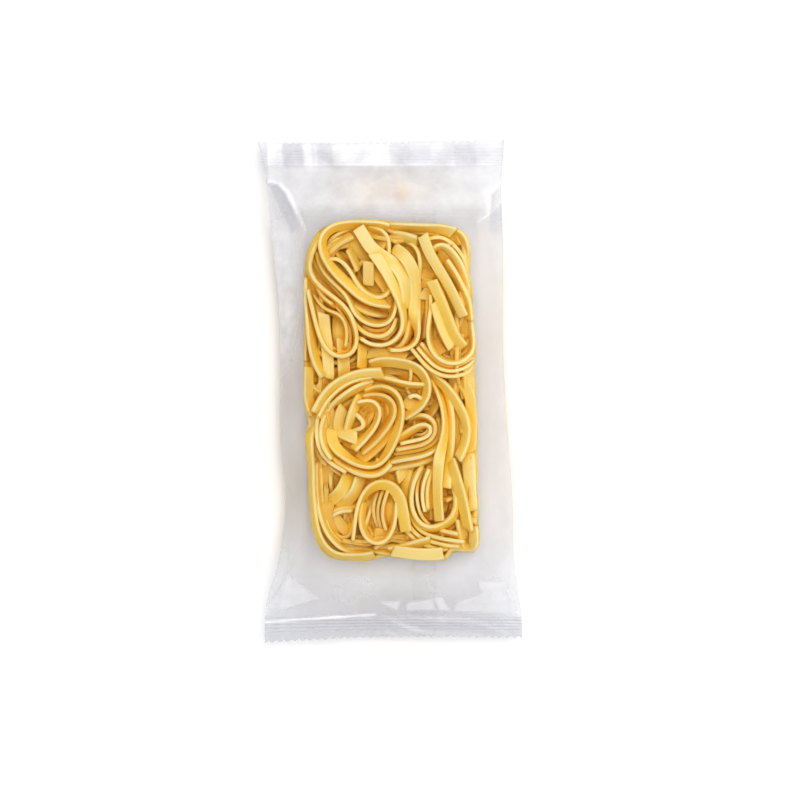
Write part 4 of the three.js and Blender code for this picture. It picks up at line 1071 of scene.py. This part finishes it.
def film_folds(x, y):
    """Ridges and pleats that stand on the stretched front."""
    lift = sum(HIP_RIDGE * nearness(x, y, hip, HIP_WIDTH)
               for hip in (FAR_LEFT_HIP, FAR_RIGHT_HIP, NEAR_LEFT_HIP, NEAR_RIGHT_HIP))
    inside = np.clip((FAR_SEAL - np.abs(y)) / SKIRT_DEPTH, 0, 1)
    pleat = np.sin(x / 2.3 + 1.4 * np.sin(x / 11) + y / 14)
    lift = lift + PLEAT_LIFT * pleat * np.exp(-((inside - 0.05) / 0.28) ** 2)
    broad = np.sin(x / 19 + y / 22) * np.sin(y / 17 - x / 31)
    lift = lift + BROAD_LIFT * np.clip((y + 20) / 40, 0, 1) * broad * np.sin(math.pi * inside)
    beside = np.clip((np.abs(x - block_middle.x) - block_half.x) / 12, 0, 1)
    wrinkle = np.sin(y / 5.2 + 2.1 * np.sin(y / 17) + x / 4)
    return lift + WRINKLE_LIFT * wrinkle * np.sin(math.pi * beside) * (np.abs(y) < SIDES_END)


def between_hips(x, y, left_hip, right_hip):
    """1 on the skirt between two hips, falling to 0 just past them."""
    left, right = (np.array(sorted(hip, key=lambda spot: spot[1])) for hip in (left_hip, right_hip))
    past_left = x - np.interp(y, left[:, 1], left[:, 0])
    past_right = np.interp(y, right[:, 1], right[:, 0]) - x
    return np.clip(np.minimum(past_left, past_right) / 1.2 + 0.5, 0, 1)


def seal_bands(y):
    """1 on the far seal and 1 on the near seal, falling to 0 at once beside each."""
    return tuple(np.clip(out / SEAL_EASE + 0.5, 0, 1) for out in (y - FAR_SEAL, NEAR_SEAL - y))


# How milky the film is: 0 is clear and 1 is white.
LOOSE_HAZE = 0.22  # anywhere off the noodles
# The skirts are milky where the film folds; the far skirt much more than the near one, and the far half of
# the left side too, as painted light.
FAR_SKIRT_HAZE, NEAR_SKIRT_HAZE, LEFT_SIDE_LIGHT_HAZE = 0.38, 0.06, 0.42
FAR_SEAL_HAZE, NEAR_SEAL_HAZE, NEAR_PATCH_HAZE = 0.42, 0.20, 0.35
FAR_LEFT_HAZE, FAR_RIGHT_HAZE = 0.45, 0.40  # on the sides of the far hips, where with the grey tone they are painted shade
# Painted highlights: a milky line beside each far hip, and a white line on the near seal's fold.
HIP_GLINT_HAZE, CREASE_HIGHLIGHT_HAZE = 0.35, 0.8
MOST_HAZE = 0.95
BACK_HAZE, BACK_RISE_HAZE, BACK_SEAL_HAZE = 0.02, 0.03, 0.3
FIN_HAZE, FIN_LINE_HAZE, FIN_EDGE_HAZE = 0.10, 0.05, 0.12
FIN_LINE_PITCH = 5.2


def front_haze(x, y):
    """How milky the front film is: least where it is pressed on the noodles, most at the seals, with
    painted highlights on the far hips, the near facets and the near fold, and painted light on the far
    skirt and the far half of the left side.
    """
    past_block = np.maximum(np.abs(x - block_middle.x) - block_half.x,
                            np.abs(y - block_middle.y) - block_half.y)
    off_block = np.clip(past_block / 9 + 0.25, 0, 1)
    haze = LOOSE_HAZE * off_block
    far_skirt = between_hips(x, y, FAR_LEFT_HIP, FAR_RIGHT_HIP) * (y > 70)
    near_skirt = between_hips(x, y, NEAR_LEFT_HIP, NEAR_RIGHT_HIP) * (y < -72)
    haze = haze + FAR_SKIRT_HAZE * off_block * far_skirt + NEAR_SKIRT_HAZE * off_block * near_skirt
    far_band, near_band = seal_bands(y)
    haze = haze + FAR_SEAL_HAZE * far_band
    near_patches = np.clip(np.sin(x / 4.3 + y / 1.1 + 2 * np.sin(x / 9)), 0, 1)
    near_patches = near_patches * patch(x, y, (30, -113), (30, 6), soft=6)
    haze = haze + near_band * (NEAR_SEAL_HAZE + NEAR_PATCH_HAZE * near_patches)
    # Painted shade: the sides of the far hips are milkier and, with the grey tone, darker.
    haze = haze + FAR_LEFT_HAZE * panel(x, y, FAR_LEFT_PANEL) * nearness(x, y, FAR_LEFT_HIP, 9)
    haze = haze + FAR_RIGHT_HAZE * panel(x, y, FAR_RIGHT_PANEL) * nearness(x, y, FAR_RIGHT_HIP, 6)
    # painted light on the far half of the left side
    left_side = (x < 0) * np.clip(y / 30, 0, 1) * np.clip((SIDES_END - y) / 10, 0, 1)
    haze = haze + LEFT_SIDE_LIGHT_HAZE * off_block * left_side
    # Painted highlights beside the far hips, on the skirt side of each fold.
    for hip, side in ((FAR_LEFT_HIP, 1), (FAR_RIGHT_HIP, -1)):
        haze = haze + HIP_GLINT_HAZE * nearness(x, y, [(hx + 0.8 * side, hy + 0.5) for hx, hy in hip], 0.9)
    # painted highlights on the near facets
    for facet, strength in NEAR_FACET_HIGHLIGHTS:
        haze = haze + strength * panel(x, y, facet)
    haze = haze + CREASE_HIGHLIGHT_HAZE * nearness(x, y, NEAR_CREASE_HIGHLIGHT, 0.5)
    return np.clip(haze, 0, MOST_HAZE)


# Where the milky film looks greyer, and where a warm reflection of the noodles at the far end and a warm
# shadow beyond the block's near end are painted on it, each with how strongly.
GREY_PATCHES = (
    ((-46.2, 112.6), (5.0, 6.3), 0.6), ((-31.2, 112.6), (3.8, 6.3), 0.5),
    ((-36.4, 112.0), (0.7, 6.0), 0.35), ((12.0, 113.2), (7.5, 4.0), 0.2), ((36.0, 112.0), (5.0, 5.5), 0.25),
)
PAINTED_WARMTH_SPOTS = (
    ((-2.0, 95.5), (21.0, 9.0), 0.4), ((5.8, 94.0), (3.2, 5.0), 0.5), ((-8.0, -83.0), (26.0, 4.0), 0.7),
)


def front_tones(x, y):
    """How grey the milky parts of the front film are, with painted shade on the sides of the far hips and
    painted light on the far skirt and the far left side, and how warm they are painted by a reflection and
    a shadow of the noodles.
    """
    far_band, near_band = seal_bands(y)
    grey = 0.2 + 0.35 * near_band
    # painted light: less grey on the far half of the left side
    grey = grey - 0.2 * (x < 0) * np.clip(y / 30, 0, 1)
    for middle, half, strength in GREY_PATCHES:
        grey = grey + strength * patch(x, y, middle, half, turn=4, soft=0.6)
    # painted light: less grey on the far skirt
    grey = grey - 0.2 * between_hips(x, y, FAR_LEFT_HIP, FAR_RIGHT_HIP) * (y > 70)
    grey = grey + 0.3 * far_band
    # painted shade on the sides of the far hips
    grey = grey + panel(x, y, FAR_LEFT_PANEL) + 0.8 * panel(x, y, FAR_RIGHT_PANEL)
    grey = grey * (1 - nearness(x, y, NEAR_CREASE_HIGHLIGHT, 0.8))
    beige = sum(strength * np.exp(-(((x - middle[0]) / half[0]) ** 2) - ((y - middle[1]) / half[1]) ** 2)
                for middle, half, strength in PAINTED_WARMTH_SPOTS)
    return np.clip(grey, 0, 1), np.clip(beige, 0, 1)


def bag_mesh():
    """The closed surface of the bag: its front, its back, and the thin cut at each end."""
    seal_rows, skirt_rows, block_rows = 0.36, 0.75, 1.3
    rows = np.concatenate([
        np.arange(NEAR_EDGE, NEAR_SEAL, seal_rows), np.arange(NEAR_SEAL, block_low.y, skirt_rows),
        np.arange(block_low.y, block_high.y, block_rows), np.arange(block_high.y, FAR_SEAL, skirt_rows),
        np.linspace(FAR_SEAL, FAR_EDGE, math.ceil(SEAL_DEPTH / seal_rows) + 1),
    ])
    columns = np.linspace(0, 1, TEETH * 4 + 1)
    left, right = film_edges(rows)
    x = left[:, None] + (right - left)[:, None] * columns
    y = np.repeat(rows[:, None], len(columns), axis=1)
    beyond = np.clip((np.abs(y) - FAR_SEAL) / SEAL_DEPTH, 0, 1)
    off_edge = np.clip(np.sin(math.pi * columns) * 6, 0, 1)
    front = at_places(stretched_front(), x, y) + film_folds(x, y) * off_edge
    welded = weld_height(x, y)
    crimp_share = np.clip((CRIMP_BAND - beyond * SEAL_DEPTH) / CRIMP_EASE, 0, 1) * (beyond > 0)
    crimp = CRIMP_RELIEF * np.cos(2 * math.pi * beyond * SEAL_DEPTH / CRIMP_PITCH) * crimp_share
    ripple = SEAL_RIPPLE * np.sin(x / 5.5 + 1.3 * np.sin(x / 12)) * beyond
    in_seal = np.clip(beyond * SEAL_DEPTH / SEAL_EASE, 0, 1)
    front = front * (1 - in_seal) + (welded + SEAL_HALF + crimp + ripple) * in_seal
    side_edge = np.where(x < 0, left[:, None], right[:, None])
    to_edge = np.maximum(np.abs(side_edge - block_middle.x) - block_half.x + 1, 1)
    aside = (np.abs(x - block_middle.x) - block_half.x + 1) / to_edge
    endways = (np.abs(y - block_middle.y) - block_half.y + 1) / (FAR_SEAL - block_half.y)
    away = np.clip(np.maximum(aside, endways), 0, 1)
    fin = patch(x, y, (FIN_MIDDLE, 0), (FIN_HALF, FAR_EDGE), soft=0.4)
    back = BACK_LIFT + (welded - BACK_LIFT) * away**BACK_CURVE - FIN_DEPTH * fin
    back = back * (1 - in_seal) + (welded - SEAL_HALF + crimp + ripple) * in_seal
    back = np.minimum(back, front - 0.05)
    edge = np.minimum(columns, 1 - columns) < 1e-6
    front[:, edge] = (welded + ripple)[:, edge]
    tooth = np.array([0, 0.5, 1, 0.5])[np.arange(len(columns)) % 4] * TOOTH_DEPTH
    toothed = np.clip((beyond * SEAL_DEPTH - TOOTH_START) / TOOTH_EASE, 0, 1)
    y_now = y + end_bow(x, y) * beyond - np.sign(y) * tooth * toothed
    fin_edges = sum(nearness(x, y, [(FIN_MIDDLE + end, NEAR_EDGE), (FIN_MIDDLE + end, FAR_EDGE)], 0.7)
                    for end in (-FIN_HALF, FIN_HALF))
    fin_haze = FIN_HAZE + FIN_LINE_HAZE * np.sin(2 * math.pi * y / FIN_LINE_PITCH)
    haze_back = BACK_HAZE + BACK_RISE_HAZE * away + BACK_SEAL_HAZE * (beyond > 0)
    haze_back = haze_back + fin * fin_haze + FIN_EDGE_HAZE * fin_edges
    count = x.size
    number = np.arange(count).reshape(x.shape)
    under = np.where(edge[None, :], number, number + count)
    points = np.vstack([np.stack([x, y_now, height], -1).reshape(-1, 3) for height in (front, back)])
    haze = np.concatenate([front_haze(x, y_now).ravel(), haze_back.ravel()])
    grey, beige = (np.tile(tone.ravel(), 2) for tone in front_tones(x, y_now))

    def cells(grid):
        return np.stack([grid[:-1, :-1], grid[:-1, 1:], grid[1:, 1:], grid[1:, :-1]], -1).reshape(-1, 4)

    near_end, far_end = cells(np.stack([under[0], number[0]])), cells(np.stack([number[-1], under[-1]]))
    quads = np.vstack([cells(number), cells(under)[:, ::-1], near_end, far_end])
    used = np.unique(quads)
    renumber = np.zeros(len(points), int)
    renumber[used] = np.arange(len(used))
    faces = [list(dict.fromkeys(face)) for face in renumber[quads].tolist()]
    mesh = smooth_mesh("film_bag_clear", points[used], faces, haze=haze[used], grey=grey[used],
                       beige=beige[used])
    # the side folds are sharp
    folded = np.zeros(len(points), bool)
    folded[number[:, edge].ravel()] = True
    corners = np.zeros(len(mesh.edges) * 2, int)
    mesh.edges.foreach_get("vertices", corners)
    sharp = folded[used][corners.reshape(-1, 2)].all(axis=1)
    mesh.attributes.new("sharp_edge", "BOOLEAN", "EDGE").data.foreach_set("value", sharp)
    return mesh


def film_material():
    """Clear glossy film: it lets most light through, mirrors some at a slant, and is milky where
    it is creased or crimped; its milky parts also carry painted highlights, shade and reflections."""
    material = bpy.data.materials.new("clear_film")
    material.use_nodes = True
    tree = material.node_tree
    tree.nodes.remove(tree.nodes["Principled BSDF"])
    through = new_node(tree, "ShaderNodeBsdfTransparent", Color=(0.958, 0.966, 0.985, 1))
    colour = linear(232, 231, 234)
    # The milk is tinted grey, and warm where a reflection and a shadow of the noodles are painted.
    for name, tone in (("grey", linear(188, 188, 196)), ("beige", linear(236, 212, 180))):
        amount = new_node(tree, "ShaderNodeAttribute", {"attribute_name": name})
        mixed = new_node(tree, "ShaderNodeMix", {"data_type": "RGBA"}, _0=amount.outputs["Fac"], _6=colour,
                         _7=tone)
        colour = mixed.outputs[2]
    milk = new_node(tree, "ShaderNodeBsdfPrincipled", Base_Color=colour, Roughness=0.45)
    place = new_node(tree, "ShaderNodeTexCoord")
    cloud = new_node(tree, "ShaderNodeTexNoise", Vector=place.outputs["Object"], Scale=90.0, Detail=4.0)
    haze = new_node(tree, "ShaderNodeAttribute", {"attribute_name": "haze"})
    uneven = new_node(tree, "ShaderNodeMapRange", Value=cloud.outputs["Fac"], From_Min=0.3, From_Max=0.7,
                      To_Min=0.75, To_Max=1.2)
    amount = new_node(tree, "ShaderNodeMath", {"operation": "MULTIPLY"}, _0=haze.outputs["Fac"],
                      _1=uneven.outputs["Result"])
    body = new_node(tree, "ShaderNodeMixShader", Fac=amount.outputs[0], _1=through.outputs[0],
                    _2=milk.outputs[0])
    bump = new_node(tree, "ShaderNodeBump", Height=cloud.outputs["Fac"], Strength=0.12, Distance=0.0004)
    mirror = new_node(tree, "ShaderNodeBsdfGlossy", Color=(1, 1, 1, 1), Roughness=0.14,
                      Normal=bump.outputs["Normal"])
    slant = new_node(tree, "ShaderNodeFresnel", IOR=1.22)
    whole = new_node(tree, "ShaderNodeMixShader", Fac=slant.outputs[0], _1=body.outputs[0],
                     _2=mirror.outputs[0])
    tree.links.new(whole.outputs[0], tree.nodes["Material Output"].inputs["Surface"])
    return material


bag = in_scene("film_bag_clear", bag_mesh(), film_material())
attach(bag, "root")
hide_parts("film_bag")

# ---------------------------------------------------------------- the studio
# A plain white floor under large soft lights, with the camera straight above the pack.

FLOOR_HALF = 3.0
floor_mesh = bpy.data.meshes.new("floor")
floor_corners = [(x * FLOOR_HALF, y * FLOOR_HALF, 0) for x, y in ((-1, -1), (1, -1), (1, 1), (-1, 1))]
floor_mesh.from_pydata(floor_corners, [], [(0, 1, 2, 3)])
floor_paint = bpy.data.materials.new("white_floor")
floor_paint.use_nodes = True
paint_tree = floor_paint.node_tree
paint = paint_tree.nodes["Principled BSDF"]
paint_noise = new_node(paint_tree, "ShaderNodeTexNoise", Scale=14.0, Detail=3.0)
paint_rough = new_node(paint_tree, "ShaderNodeMapRange", Value=paint_noise.outputs["Fac"], To_Min=0.75,
                       To_Max=0.9)
paint.inputs["Base Color"].default_value = linear(246, 246, 246)
paint.inputs["Specular IOR Level"].default_value = 0.1
paint_tree.links.new(paint_rough.outputs["Result"], paint.inputs["Roughness"])
floor = in_scene("floor", floor_mesh, floor_paint)


def soft_light(name, place, size, power, mirrored=True):
    """A large soft box at a place, aimed at the pack. One that isn't mirrored gives no glints."""
    light = bpy.data.lights.new(name, "AREA")
    light.shape = "RECTANGLE"
    light.size, light.size_y = size
    light.energy = power
    lamp = bpy.data.objects.new(name, light)
    lamp.location = place
    lamp.visible_glossy = mirrored
    aim = np.array([0, 0, 0.01]) - np.array(place)
    tilt = math.atan2(math.hypot(aim[0], aim[1]), -aim[2])
    lamp.rotation_euler = (tilt, 0, math.atan2(aim[1], aim[0]) - math.pi / 2)
    bpy.context.scene.collection.objects.link(lamp)


soft_light("over_box", (0.1, 0.25, 2.3), (1.6, 1.6), 26, mirrored=False)
soft_light("far_box", (0.45, 1.2, 1.45), (1.6, 0.9), 11)
soft_light("right_box", (1.45, 0.0, 1.2), (1.4, 0.9), 10)
soft_light("left_box", (-1.45, 0.1, 1.15), (1.4, 0.9), 6)
soft_light("near_box", (0.0, -1.5, 1.3), (1.4, 0.8), 5)

world = bpy.data.worlds.new("studio")
bpy.context.scene.world = world
world.use_nodes = True
sky = world.node_tree
direction = new_node(sky, "ShaderNodeTexCoord")
height = new_node(sky, "ShaderNodeSeparateXYZ", Vector=direction.outputs["Generated"])
band = new_node(sky, "ShaderNodeMapRange", Value=height.outputs["Z"], From_Min=0.15, From_Max=0.7,
                To_Min=0.75, To_Max=0.28)
sky.links.new(band.outputs["Result"], sky.nodes["Background"].inputs["Strength"])
sky.nodes["Background"].inputs["Color"].default_value = (1, 1, 1, 1)

VIEW_WIDTH = 0.380  # what the frame takes in, at the height of the noodles
VIEW_MIDDLE = (0.0049, -0.0044)
LENS, SENSOR = 150, 36
camera_data = bpy.data.cameras.new("camera")
camera_data.lens = LENS
camera_data.sensor_width = SENSOR
camera_data.clip_end = 20
camera = bpy.data.objects.new("camera", camera_data)
camera.location = (*VIEW_MIDDLE, VIEW_WIDTH * LENS / SENSOR + block_top * MM * 0.7)
bpy.context.scene.collection.objects.link(camera)
bpy.context.scene.camera = camera
bpy.context.scene.view_settings.view_transform = "Standard"
